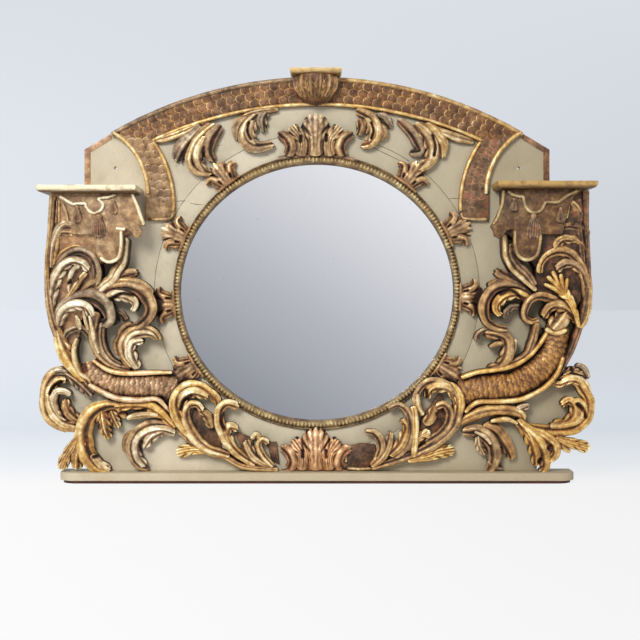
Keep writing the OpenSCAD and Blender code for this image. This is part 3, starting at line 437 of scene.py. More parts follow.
def smooth_line(drawn: Drawn, step: float) -> np.ndarray:
    """Carry a smooth curve through drawn points and space it evenly.

    Args:
        drawn: Points with any number of values, x and z first.
        step: Distance between the points of the result, in mm.

    Returns:
        One row for each point along the curve.
    """
    p = np.array(drawn, dtype=float)
    pad = np.vstack([p[:1], p, p[-1:]])
    t = np.linspace(0, 1, 24, endpoint=False)[:, None]
    rows = []
    for a, b, c, d in zip(pad[:-3], pad[1:-2], pad[2:-1], pad[3:]):
        rows.append(0.5 * (2 * b + (c - a) * t + (2 * a - 5 * b + 4 * c - d) * t**2 + (3 * b - a - 3 * c + d) * t**3))
    line = np.vstack(rows + [p[-1:]])
    run = run_along(line)
    even = np.linspace(0, run[-1], max(6, int(round(run[-1] / step)) + 1))
    return np.stack([np.interp(even, run, line[:, i]) for i in range(line.shape[1])], axis=1)


def soften(values: np.ndarray, span: int) -> np.ndarray:
    """Average values over an odd number of neighbours."""
    return np.convolve(np.pad(values, span // 2, mode="edge"), np.ones(span) / span, mode="valid")


def bell(offset: np.ndarray, width: float) -> np.ndarray:
    """Give 1 at no offset, falling evenly on both sides."""
    return np.exp(-((offset / width) ** 2))


def profile(values: Sequence[float], t: np.ndarray) -> np.ndarray:
    """Spread a few values evenly along a stroke and ease from one to the next."""
    eased = np.interp(t, np.linspace(0, 1, len(values)), values)
    span = max(3, len(t) // (2 * len(values))) | 1
    return soften(eased, span)


@dataclass(frozen=True)
class Cut:
    """How a stroke of carving is worked: shares are of its half width, sizes in mm."""

    drop: float = 0.5
    lean: float = 0.16
    channel: float = 0.0
    flutes: int = 0
    groove: float = 0.16
    lobes: float = 0.0
    pitch: float = 18.0
    sweep: float = 1.2
    sides: int = 2
    start: float = 0.12
    tip: int = 0
    scales: float = 0.0
    rib: float = 0.0
    wander: float = 0.05
    breadth: float = 1.0
    streak: float = 0.17


class Carve(Enum):
    """Kinds of carved stroke on the mirror."""

    ROLL = Cut(channel=0.45, tip=2, breadth=1.22)
    STEM = Cut(flutes=2, drop=0.6, breadth=1.15)
    TONGUE = Cut(drop=0.7, lean=0.1, rib=0.18, breadth=1.15, streak=0.15)
    LEAF = Cut(channel=0.3, lobes=0.45, pitch=25.0, sides=1, tip=3, rib=0.1, breadth=1.4)
    TWIN = Cut(lobes=0.4, pitch=16.0, tip=3, rib=0.3, breadth=1.25)
    FAN = Cut(flutes=5, groove=0.13, lean=0.0, drop=0.42, lobes=0.2, pitch=22.0, start=0.5, tip=5)
    FRINGE = Cut(drop=0.9, lean=0.0, lobes=0.6, pitch=14.0, sides=1, start=0.0)
    HORN = Cut(drop=0.62, lean=0.0, scales=22.0, wander=0.01, streak=0.0)
    RIM = Cut(drop=0.8, lean=0.0, wander=0.03, streak=0.1)
    TASSEL = Cut(lean=0.0, flutes=6, groove=0.1, tip=5, wander=0.02, streak=0.0)


ROLL, STEM, TONGUE, LEAF, TWIN, FAN, FRINGE, HORNED, RIM, TASSEL = Carve


def fish_scales(along: np.ndarray, across: np.ndarray, pitch: float) -> np.ndarray:
    """Give the relief of overlapping fish scales, from 0 between them to 1 at a free edge.

    Args:
        along: Distance along the run, in mm.
        across: Distance from its middle, in mm.
        pitch: Distance between scales, in mm.

    Returns:
        The relief at each point.
    """
    relief = np.zeros_like(along)
    radius, step = 0.66 * pitch, 0.62 * pitch
    base = np.floor(along / step)
    for k in (2, 1, 0, -1):
        row = base + k
        shift = np.where(np.mod(row, 2) == 0, 0.0, 0.5) * pitch
        centre = (np.round((across - shift) / pitch)) * pitch + shift
        d = np.hypot(along - row * step, across - centre) / radius
        face = 0.3 + 0.7 * np.clip((row * step - along) / radius * 0.55 + 0.45, 0, 1)
        relief = np.where(d < 1, face * (1 - np.clip(d, 0, 1) ** 9), relief)
    return relief


class Guide:
    """The smooth line of a stroke, carried straight on beyond both ends.

    Its points lie a step apart and each end is lengthened by the spare, both in mm; its bends are
    evened out over as many points as smoothing says.
    """

    step = 2.2
    spare = 300.0
    smoothing = 9

    def __init__(self, drawn: Drawn) -> None:
        """Smooth the drawn points, lengthen the line and measure how it bends."""
        line = smooth_line(drawn, self.step)[:, :2]
        self.run = run_along(line)
        self.total = self.run[-1]
        first, last = (self.spare * way / np.linalg.norm(way) for way in (line[0] - line[1], line[-1] - line[-2]))
        self._knots = np.concatenate([[-self.spare], self.run, [self.total + self.spare]])
        self._places = np.vstack([line[0] + first, line, line[-1] + last])
        heading = np.unwrap(np.arctan2(np.gradient(line[:, 1]), np.gradient(line[:, 0])))
        self._bends = soften(np.gradient(heading) / self.step, self.smoothing)
        self.outer = -1 if heading[-1] > heading[0] else 1

    def at(self, s: np.ndarray) -> tuple[np.ndarray, np.ndarray]:
        """Give x and z at some distances along the line."""
        return np.interp(s, self._knots, self._places[:, 0]), np.interp(s, self._knots, self._places[:, 1])

    def square(self, s: np.ndarray) -> tuple[np.ndarray, np.ndarray]:
        """Give the x and z of a millimetre square to the line, to its left."""
        dx, dz = (after - before for before, after in zip(self.at(s - 1.5), self.at(s + 1.5)))
        length = np.hypot(dx, dz)
        return -dz / length, dx / length

    def gather(self, s: np.ndarray, lateral: np.ndarray) -> np.ndarray:
        """Draw points on the inner side of a bend together before they pass its middle."""
        bend = np.interp(s, self.run, self._bends)
        tight = np.minimum(0.92 / np.maximum(np.abs(bend), 1e-4), 4000)
        drawn_in = np.sign(lateral) * tight * (1 - np.exp(-np.abs(lateral) / tight))
        return np.where(np.sign(lateral) == np.sign(bend), drawn_in, lateral)


@dataclass
class Surface:
    """The face of a stroke while it is carved, as a grid of rows along it and columns across.

    s is the distance along the stroke in mm, v the place across it from -1 to 1, w the half width,
    a the share of w from the middle and vo the place across with the outside of the bend positive.
    """

    cut: Cut
    s: np.ndarray
    v: np.ndarray
    w: np.ndarray
    total: float
    outer: int
    phase: np.ndarray

    def __post_init__(self) -> None:
        """Start with a flat face and whole edges."""
        self.a, self.vo = np.abs(self.v), self.v * self.outer
        self.relief, self.crest = np.zeros_like(self.s), np.zeros_like(self.s)
        self.edge = np.ones_like(self.s)

    def _add(self, relief: np.ndarray | float, crest: np.ndarray | float) -> None:
        """Raise the face and mark it brighter or darker, partly as painted highlight and shade."""
        self.relief, self.crest = self.relief + relief, self.crest + crest

    def round_over(self, height: np.ndarray) -> None:
        """Round the section, lean it outwards and sink its channel; mark the middle and the leaning side brighter and
        the channel darker, as painted highlight and shade.
        """
        cut, trough = self.cut, self.vo + 0.25
        self._add(height - cut.drop * self.w * self.a**2.4 + cut.lean * self.w * self.vo,
                  0.12 - 0.22 * self.a**2 + 0.16 * self.vo * (cut.lean > 0))
        self._add(-cut.channel * self.w * bell(trough, 0.26), -1.1 * cut.channel * bell(trough, 0.24))

    def raise_rib(self) -> None:
        """Raise a middle rib between two shallow furrows."""
        spine = self.cut.rib * (bell(self.vo - 0.05, 0.16) - 0.6 * bell(self.a - 0.4, 0.16))
        self._add(self.w * spine, 0.9 * spine)

    def flute(self) -> None:
        """Cut flutes along the stroke, shallow at its start."""
        ridge = np.abs(np.sin(math.pi * (self.v + 1) / 2 * self.cut.flutes)) ** 0.7
        grow = np.clip(self.s / (0.3 * self.total), 0.3, 1)
        self._add(self.cut.groove * np.minimum(self.w, 16) * (ridge - 0.75) * grow, 0.5 * (ridge - 0.62) * grow)

    def streak(self) -> None:
        """Streak the leaf along the stroke, as rubbing does."""
        wave = (2.2 + self.phase[3] / 5) * self.v
        vein = np.sin(math.pi * wave + self.phase[1] + 1.4 * np.sin(self.s / 41 + self.phase[3]))
        self._add(0.0, self.cut.streak * vein * (0.6 + 0.4 * np.sin(self.s / 19)))

    def lobe(self, mean_width: float) -> None:
        """Cut lobes into the edges, and the folds that run up from between them."""
        cut, s, a = self.cut, self.s, self.a
        pitch = cut.pitch * float(np.clip(mean_width / 12, 0.6, 1.3))
        turn = (s - cut.sweep * self.w * a**0.9) / pitch + self.phase[0] / 6.28
        ridge = np.abs(np.sin(math.pi * turn)) ** 0.55
        live = np.clip((s / self.total - cut.start) / 0.12, 0, 1) * np.clip((a - 0.15) / 0.5, 0, 1)
        if cut.sides == 1:
            live = live * (self.vo < 0)
        self.edge = 1 - cut.lobes * live * (1 - ridge)
        self._add(0.24 * pitch * (ridge - 0.7) * live, 0.65 * (ridge - 0.62) * live)

    def scale(self) -> None:
        """Cover the face with fish scales that die out at its edges."""
        pattern = fish_scales(self.s, self.v * self.w, self.cut.scales)
        self.relief = self.relief + 3.4 * (pattern - 0.5) * np.clip((1 - self.a) / 0.12, 0, 1)
        self.crest = -0.36 + 0.85 * pattern**1.4


@dataclass
class Stroke:
    """One carved stroke along given points, with its relief and half width along them.

    The columns of points across it are about a column width apart, in mm, and bunch at its edges.
    """

    carve: Carve
    tone: float
    gold: float
    relief: tuple[float, ...]
    width: tuple[float, ...]
    points: Drawn
    seat: float = 0.0
    place: Place = on_panel
    column_width = 1.6
    fewest_columns, most_columns = 9, 35
    bunching = 0.86 * math.pi / 2

    def _rows(self, guide: Guide, v: np.ndarray, width: np.ndarray) -> np.ndarray:
        """Space the rows: even, with a round start and a rounded or petalled tip."""
        t = np.linspace(0, 1, len(guide.run))[:, None]
        bow = 1 - np.sqrt(np.clip(1 - v**2, 0, 1))
        tip = self.carve.value.tip
        petals = 0.5 * np.abs(np.cos(tip * math.pi * v / 2)) ** 0.6 if tip else 0.0
        return t * guide.total + t**5 * width[-1] * (0.3 - bow + petals) + (1 - t) ** 5 * width[0] * 0.8 * bow

    def shell(self, seed: int) -> "Shell":
        """Carve the stroke as a closed shell.

        Args:
            seed: Seed of the hand's small wanderings.

        Returns:
            The shell with its marks.
        """
        cut, guide = self.carve.value, Guide(self.points)
        share = guide.run / guide.total
        height, width = profile(self.relief, share), cut.breadth * profile(self.width, share)
        columns = int(np.clip(2 * width.max() / self.column_width, self.fewest_columns, self.most_columns)) | 1
        v = (np.sin(np.linspace(-1, 1, columns) * self.bunching) / math.sin(self.bunching))[None, :]
        s = self._rows(guide, v, width)
        phase = np.random.default_rng(seed).uniform(0, 6.28, 4)
        w, h = np.interp(s, guide.run, width), np.interp(s, guide.run, height)
        w = w * (1 + cut.wander * (np.sin(s / 17 + phase[0]) + 0.6 * np.sin(s / 7.3 + phase[1])))
        face = Surface(cut, s, v, w, guide.total, guide.outer, phase)
        face.round_over(h + cut.wander * w * np.sin(s / 23 + phase[2]))
        if cut.rib:
            face.raise_rib()
        if cut.flutes:
            face.flute()
        face.streak()
        if cut.lobes:
            face.lobe(width.mean())
        if cut.scales:
            face.scale()
        tail = np.clip((s - (guide.total - 0.9 * width[-1])) / (1.3 * width[-1] + 1), 0, 1)
        relief = np.maximum(face.relief - 0.25 * w * tail, self.seat + THINNEST)
        lateral = guide.gather(s, v * w * face.edge)
        (x, z), (side_x, side_z) = guide.at(s), guide.square(s)
        return Shell.from_grid(self, x + side_x * lateral, z + side_z * lateral, relief, face.crest,
                               x + side_x * lateral * 0.9, z + side_z * lateral * 0.9)


def lay(carve: Carve, tone: float, gold: float, relief: Sequence[float] | float, width: Sequence[float] | float,
        *run: float) -> Stroke:
    """List one stroke on the panel.

    Args:
        carve: Kind of carving.
        tone: Shade in percent, from dark to bright.
        gold: Leaf in percent, from greyed to yellow.
        relief: Heights along it, or its highest.
        width: Half widths along it, or its widest.
        run: Places along it, x and z in turn.

    Returns:
        The stroke.
    """
    heights = (0.82 * relief, relief, relief, 0.86 * relief) if isinstance(relief, (int, float)) else tuple(relief)
    widths = (0.6 * width, width, width, 0.6 * width) if isinstance(width, (int, float)) else tuple(width)
    return Stroke(carve, tone / 100 - 0.5, gold / 100 - 0.5, heights, widths, pairs(*run))


@dataclass
class Shell:
    """A closed carved shell: its points on the drawing, its faces and the marks for its finish."""

    x: np.ndarray
    z: np.ndarray
    relief: np.ndarray
    quads: np.ndarray
    fans: list[np.ndarray]
    crest: np.ndarray
    hollow_dirt_and_shade: np.ndarray
    top: int
    stroke: Stroke

    @staticmethod
    def from_grid(stroke: Stroke, x: np.ndarray, z: np.ndarray, relief: np.ndarray, crest: np.ndarray,
                  foot_x: np.ndarray, foot_z: np.ndarray) -> "Shell":
        """Close a grid of carved points down to its seat.

        Args:
            stroke: The stroke that is carved.
            x: Grid of positions across the drawing.
            z: Grid of heights.
            relief: Grid of reliefs.
            crest: Grid of crest marks.
            foot_x: Grid of positions at the seat.
            foot_z: Grid of heights at the seat.

        Returns:
            The closed shell.
        """
        rows, cols = x.shape
        index = np.arange(rows * cols).reshape(rows, cols)
        quads = [np.stack([index[:-1, :-1], index[1:, :-1], index[1:, 1:], index[:-1, 1:]], axis=-1).reshape(-1, 4)]
        rim = np.concatenate([index[0, :], index[1:, -1], index[-1, -2::-1], index[-2:0:-1, 0]])
        flat = [x.ravel(), z.ravel(), relief.ravel(), crest.ravel()]
        mid = np.arange(len(rim)) + rows * cols
        low = mid + len(rim)
        fx, fz = foot_x.ravel()[rim], foot_z.ravel()[rim]
        xs = np.concatenate([flat[0], 0.5 * (flat[0][rim] + fx), fx])
        zs = np.concatenate([flat[1], 0.5 * (flat[1][rim] + fz), fz])
        hs = np.concatenate([flat[2], stroke.seat + 0.5 * (flat[2][rim] - stroke.seat),
                             np.full(len(rim), stroke.seat - 0.6)])
        # The walls are marked darker than the face, darkest at the seat, as painted shade.
        cs = np.concatenate([flat[3], flat[3][rim] - 0.3, np.full(len(rim), -0.5)])
        quads += [np.stack([a, np.roll(a, -1), np.roll(b, -1), b], axis=-1) for a, b in ((rim, mid), (mid, low))]
        right = low[cols - 1 : cols - 1 + rows]
        left = np.concatenate([low[:1], low[::-1][: rows - 1]])
        quads.append(np.stack([left[:-1], right[:-1], right[1:], left[1:]], axis=-1))
        ends = [low[:cols][::-1][None, :], low[cols - 1 + rows - 1 : cols - 1 + rows - 1 + cols][::-1][None, :]]
        return Shell(xs, zs, hs, np.concatenate(quads), ends, cs, np.zeros(len(xs)), rows * cols, stroke)


@dataclass(frozen=True)
class Gouge:
    """A slot cut into whatever carving lies under its line, darkened as painted shade."""

    width: float
    depth: float
    points: Drawn

    def cut(self, shell: Shell) -> None:
        """Sink a shell's points under the line and mark them darker, as painted shade."""
        line = smooth_line(self.points, 3.0)
        low, high = line.min(axis=0) - 2 * self.width, line.max(axis=0) + 2 * self.width
        face = np.stack([shell.x[: shell.top], shell.z[: shell.top]], axis=1)
        near = np.flatnonzero(((face > low) & (face < high)).all(axis=1))
        if not len(near):
            return
        d = np.hypot(shell.x[near, None] - line[None, :, 0], shell.z[near, None] - line[None, :, 1]).min(axis=1)
        sunk = np.exp(-((d / self.width) ** 2) * 1.4)
        floor = np.minimum(shell.stroke.seat + THINNEST, shell.relief[near])
        shell.relief[near] = np.maximum(shell.relief[near] - self.depth * sunk, floor)
        shell.hollow_dirt_and_shade[near] = np.maximum(shell.hollow_dirt_and_shade[near], 0.9 * sunk)


def gouge(width: float, depth: float, *run: float) -> Gouge:
    """List one slot from its width, depth and places, x and z in turn."""
    return Gouge(width, depth, pairs(*run))


class Bench:
    """Collects the carved shells of every piece, marks where they stand out and sink in for painted highlight and
    shade, and makes the meshes.

    The hollows come from one height field of all the carving: cell is the size of its cells in mm,
    low its lower left corner, shape its number of cells, near and wide the spreads of its blurs in mm.
    """

    cell = 1.5
    low = (-780.0, -10.0)
    shape = (1040, 780)
    near, wide = 4.0, 13.0

    def __init__(self) -> None:
        """Start with an empty bench."""
        self.work: dict[str, list[Shell]] = {}
        self._seed = 0

    def carve(self, name: str, strokes: Sequence[Stroke]) -> None:
        """Carve the strokes of a piece and keep their shells under its name."""
        for stroke in strokes:
            self._seed += 1
            self.work.setdefault(name, []).append(stroke.shell(self._seed))

    def _blur(self, heights: np.ndarray, size: float) -> np.ndarray:
        """Blur a height field by a spread in mm."""
        fx = np.fft.fftfreq(heights.shape[0], d=self.cell)[:, None]
        fz = np.fft.rfftfreq(heights.shape[1], d=self.cell)[None, :]
        gauss = np.exp(-2 * (math.pi * size) ** 2 * (fx**2 + fz**2))
        return np.fft.irfft2(np.fft.rfft2(heights) * gauss, s=heights.shape)

    def _cells(self, x: np.ndarray, z: np.ndarray) -> tuple[np.ndarray, np.ndarray]:
        """Find the cells under some points."""
        return (np.clip(((x - self.low[0]) / self.cell).astype(int), 0, self.shape[0] - 1),
                np.clip(((z - self.low[1]) / self.cell).astype(int), 0, self.shape[1] - 1))

    def mark_highlight_and_shade(self, gouges: Sequence[Gouge]) -> None:
        """Cut the slots, then mark the relief of all the carving together: higher parts brighter as painted highlight,
        sunken parts darker as painted shade.
        """
        flat = [s for shells in self.work.values() for s in shells if s.stroke.place is on_panel]
        for gouge in gouges:
            for s in flat:
                gouge.cut(s)
        heights = np.zeros(self.shape)
        for s in flat:
            np.maximum.at(heights, self._cells(s.x[: s.top], s.z[: s.top]), s.relief[: s.top])
        around = np.max([np.roll(heights, (a, b), (0, 1)) for a in (-1, 0, 1) for b in (-1, 0, 1)], axis=0)
        heights = np.where(heights <= 0, around, heights)
        near, wide = self._blur(heights, self.near), self._blur(heights, self.wide)
        for s in flat:
            here = self._cells(s.x, s.z)
            # Carving that stands above its neighbours is marked brighter and carving sunk below the carving around it
            # darker: painted highlight and shade.
            local = np.tanh((s.relief - near[here]) / 3.0)
            s.crest = np.clip(s.crest + 0.42 * local, -0.6, 0.6)
            s.hollow_dirt_and_shade = np.clip(s.hollow_dirt_and_shade + np.clip((wide[here] - s.relief) / 20.0 - 0.04, 0, 1), 0, 1)

    def deliver(self, name: str, finish: bpy.types.Material, slot: str,
                nodes: Sequence[str] = ()) -> bpy.types.Object:
        """Make one piece from the shells kept under its name.

        Args:
            name: Name of the piece.
            finish: Its material.
            slot: Not used.
            nodes: CAD nodes that the piece stands for.

        Returns:
            The finished piece.
        """
        points, quads, fans, base = [], [], [], 0
        marks: dict[str, list[np.ndarray]] = {key: [] for key in MARKS}
        for s in self.work[name]:
            place = s.stroke.place(s.x, s.z, s.relief)
            tri = place[s.quads[: s.top // 2, :3]]
            facing = np.cross(tri[:, 1] - tri[:, 0], tri[:, 2] - tri[:, 0])[:, 1].sum()
            turn = slice(None, None, -1) if facing > 0 else slice(None)
            points.append(place)
            quads.append(s.quads[:, turn] + base)
            fans.extend(f[:, turn] + base for f in s.fans)
            same = np.ones(len(s.x))
            for key, values in zip(MARKS, (s.crest, s.hollow_dirt_and_shade, same * s.stroke.tone, same * s.stroke.gold)):
                marks[key].append(values)
            base += len(s.x)
        piece = build_object(name, np.concatenate(points), [np.concatenate(quads)] + fans,
                             {key: np.concatenate(values) for key, values in marks.items()})
        return finish_piece(piece, finish, nodes)


def finish_piece(piece: bpy.types.Object, material: bpy.types.Material,
                 nodes: Sequence[str] = ()) -> bpy.types.Object:
    """Dress a piece, fix it to the body and hide the CAD nodes that it replaces.

    Args:
        piece: The finished mesh object.
        material: Its material.
        nodes: CAD nodes that it replaces.

    Returns:
        The same piece.
    """
    piece.data.materials.clear()
    piece.data.materials.append(material)
    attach(piece, "root")
    if nodes:
        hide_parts(*nodes)
    log.info("%s: %d faces", piece.name, len(piece.data.polygons))
    return piece


def inset(loop: np.ndarray, distance: float) -> np.ndarray:
    """Move a closed anticlockwise outline inwards by a distance in mm."""
    ahead = np.roll(loop, -1, axis=0) - loop
    ahead /= np.linalg.norm(ahead, axis=1)[:, None]
    behind = np.roll(ahead, 1, axis=0)
    normal = np.stack([-(ahead + behind)[:, 1], (ahead + behind)[:, 0]], axis=1)
    length = np.linalg.norm(normal, axis=1)[:, None]
    return loop + normal / np.maximum(length, 1e-6) * distance / np.maximum(length / 2, 0.5)


def board(name: str, outline: Drawn, front: float, back: float, ease: float = 1.5, holes: Sequence[Drawn] = (),
          lie_flat: bool = False, tone: float = 0.0) -> bpy.types.Object:
    """Cut a board with eased edges.

    Args:
        name: Name of the piece.
        outline: Corners of the board, anticlockwise.
        front: Depth of its front face, in mm of the frame's y, or its top when lying flat.
        back: Depth of its back face, or its underside when lying flat.
        ease: Radius of the eased front edges.
        holes: Corners of the openings, anticlockwise.
        lie_flat: Whether the drawing is a plan, with y up the drawing.
        tone: Mark for its shade.

    Returns:
        The board as a closed mesh.
    """
    mesh = bmesh.new()
    inward = 1 if back > front else -1
    caps: list[list[bmesh.types.BMEdge]] = [[], []]
    for sign, drawn in [(1, outline)] + [(-1, h) for h in holes]:
        loop = np.array(drawn, dtype=float)
        rings = [(inset(loop, sign * d * ease), front + inward * k * ease) for d, k in ((1, 0), (0.3, 0.3), (0, 1))]
        rings += [(loop, back - inward * 0.4 * ease), (inset(loop, sign * 0.4 * ease), back)]
        made = [[mesh.verts.new((p[0] / 1000, p[1] / 1000, depth / 1000) if lie_flat
                                else (p[0] / 1000, depth / 1000, p[1] / 1000)) for p in points]
                for points, depth in rings]
        count = len(loop)
        for upper, lower in zip(made[:-1], made[1:]):
            for i in range(count):
                j = (i + 1) % count
                mesh.faces.new((upper[i], upper[j], lower[j], lower[i]))
        for cap, ring in ((0, made[0]), (1, made[-1])):
            caps[cap].extend(mesh.edges.get((ring[i], ring[(i + 1) % count])) for i in range(count))
    for cap in caps:
        bmesh.ops.triangle_fill(mesh, use_beauty=True, edges=cap)
    bmesh.ops.recalc_face_normals(mesh, faces=mesh.faces)
    data = bpy.data.meshes.new(name)
    mesh.to_mesh(data)
    mesh.free()
    mark(data, "tone", np.full(len(data.vertices), tone))
    return link_mesh(name, data, 32)


def ellipse(a: float, b: float, count: int = 160) -> list[tuple[float, float]]:
    """Draw an ellipse about the middle of the glass."""
    turns = [2 * math.pi * i / count for i in range(count)]
    return [(a * math.cos(t), OVAL_HEIGHT + b * math.sin(t)) for t in turns]


def arc(x: float, z: float, r: float, first: float, last: float, count: int = 40) -> list[tuple[float, float]]:
    """Draw an arc from one angle to another, in degrees."""
    turns = [math.radians(first + (last - first) * i / count) for i in range(count + 1)]
    return [(x + r * math.cos(t), z + r * math.sin(t)) for t in turns]


def anticlockwise(loop: Drawn) -> np.ndarray:
    """Turn an outline so that it runs anticlockwise."""
    x, z = np.array(loop, dtype=float).T
    area = np.sum(x * np.roll(z, -1) - z * np.roll(x, -1))
    return np.array(loop, dtype=float)[:: 1 if area > 0 else -1]


# Repeated forms


@dataclass(frozen=True)
class Repeat:
    """A small carved form that is set on each point of a guide line."""

    half: tuple[float, float, float]
    tilt: float = 0.0
    segments: int = 10
    rings: int = 6
    front_light: float = 0.0
    edge_light: float = 0.0
    variety: float = 0.08
    seed: int = 3

    def tree(self, material: bpy.types.Material) -> Tree:
        """Build the node tree with its named inputs."""
        tree = bpy.data.node_groups.new("Form on each point of a guide", "GeometryNodeTree")
        tree.interface.new_socket("Geometry", in_out="INPUT", socket_type="NodeSocketGeometry")
        tree.interface.new_socket("Geometry", in_out="OUTPUT", socket_type="NodeSocketGeometry")
        for label, value in self.values().items():
            kind = "NodeSocketInt" if isinstance(value, int) else "NodeSocketFloat"
            tree.interface.new_socket(label, in_out="INPUT", socket_type=kind).default_value = value
        put, sums = partial(add_node, tree), partial(calc, tree)
        given = tree.nodes.new("NodeGroupInput").outputs
        ball = put("GeometryNodeMeshUVSphere", {"Segments": given["Segments"], "Rings": given["Rings"], "Radius": 1.0})
        ball = put("GeometryNodeTransform", {0: ball, "Rotation": (math.pi / 2, 0, 0)})
        where = put("GeometryNodeInputPosition")
        deep = axis(tree, where, "Y")
        # The front of each form and its rim, but for the right side, are marked as a painted highlight.
        light = sums("MULTIPLY", deep, given["Front light"])
        rim = sums("SQRT", sums("MAXIMUM", sums("SUBTRACT", 1.0, sums("MULTIPLY", deep, deep)), 0.0))
        rim = sums("MULTIPLY", rim, sums("LESS_THAN", axis(tree, where, "X"), 0.4))
        light = sums("MULTIPLY_ADD", rim, sums("MULTIPLY", given["Edge light"], -1.0), light)
        ball = put("GeometryNodeStoreNamedAttribute", {0: ball, "Name": "crest", "Value": light}, data_type="FLOAT",
                   domain="POINT")
        size = put("CombineXYZ", {0: given["Half length"], 1: given["Half height"], 2: given["Half width"]})
        ball = put("GeometryNodeTransform", {0: ball, "Scale": size})
        ball = put("GeometryNodeTransform", {0: ball, "Rotation": put("CombineXYZ", {2: given["Tilt"]})})
        spin = put("GeometryNodeInputNamedAttribute", {"Name": "turn"}, data_type="FLOAT")
        odd = put("FunctionNodeRandomValue", {2: -1.0, 3: 1.0, "Seed": given["Seed"]}, 1, data_type="FLOAT")
        grow = sums("MULTIPLY_ADD", odd, given["Variety"], 1.0)
        stretch = put("CombineXYZ", {0: grow, 1: grow, 2: grow})
        forms = put("GeometryNodeInstanceOnPoints", {0: given[0], "Instance": ball, "Scale": stretch,
                                                     "Rotation": put("CombineXYZ", {1: spin})})
        real = put("GeometryNodeRealizeInstances", {0: forms})
        put("NodeGroupOutput", {0: put("GeometryNodeSetMaterial", {0: real, "Material": material})})
        return tree

    def values(self) -> dict[str, float | int]:
        """List the tree's inputs, lengths in metres and turns in radians."""
        return {"Half length": self.half[0] / 1000, "Half height": self.half[1] / 1000,
                "Half width": self.half[2] / 1000, "Tilt": math.radians(self.tilt), "Segments": self.segments,
                "Rings": self.rings, "Front light": -self.front_light, "Edge light": self.edge_light,
                "Variety": self.variety, "Seed": self.seed}

    def set_out(self, name: str, material: bpy.types.Material, points: np.ndarray,
                turn: np.ndarray) -> bpy.types.Object:
        """Set the form on every point of a guide and keep the plain mesh.

        Args:
            name: Name of the piece.
            material: Its finish.
            points: Guide points in metres.
            turn: Turn of the form at each point about the depth axis, in radians.

        Returns:
            An object with the finished mesh and no modifier.
        """
        guide = bpy.data.meshes.new(name + "_guide")
        guide.from_pydata(points.tolist(), [], [])
        mark(guide, "turn", turn)
        holder = put_in_scene(name + "_guide", guide)
        modifier = holder.modifiers.new("Set out", "NODES")
        modifier.node_group = self.tree(material)
        values = self.values()
        for item in modifier.node_group.interface.items_tree:
            if item.item_type == "SOCKET" and item.in_out == "INPUT" and item.name in values:
                modifier[item.identifier] = values[item.name]
        evaluated = holder.evaluated_get(bpy.context.evaluated_depsgraph_get())
        mesh = bpy.data.meshes.new_from_object(evaluated)
        mesh.name = name
        bpy.data.objects.remove(holder)
        return face_outwards(link_mesh(name, mesh, 60))


def face_outwards(piece: bpy.types.Object) -> bpy.types.Object:
    """Turn a piece's faces outwards after its doubles are merged."""
    mesh = bmesh.new()
    mesh.from_mesh(piece.data)
    bmesh.ops.remove_doubles(mesh, verts=mesh.verts, dist=1e-6)
    bmesh.ops.recalc_face_normals(mesh, faces=mesh.faces)
    mesh.to_mesh(piece.data)
    mesh.free()
    return piece


# Boards, moulding and band


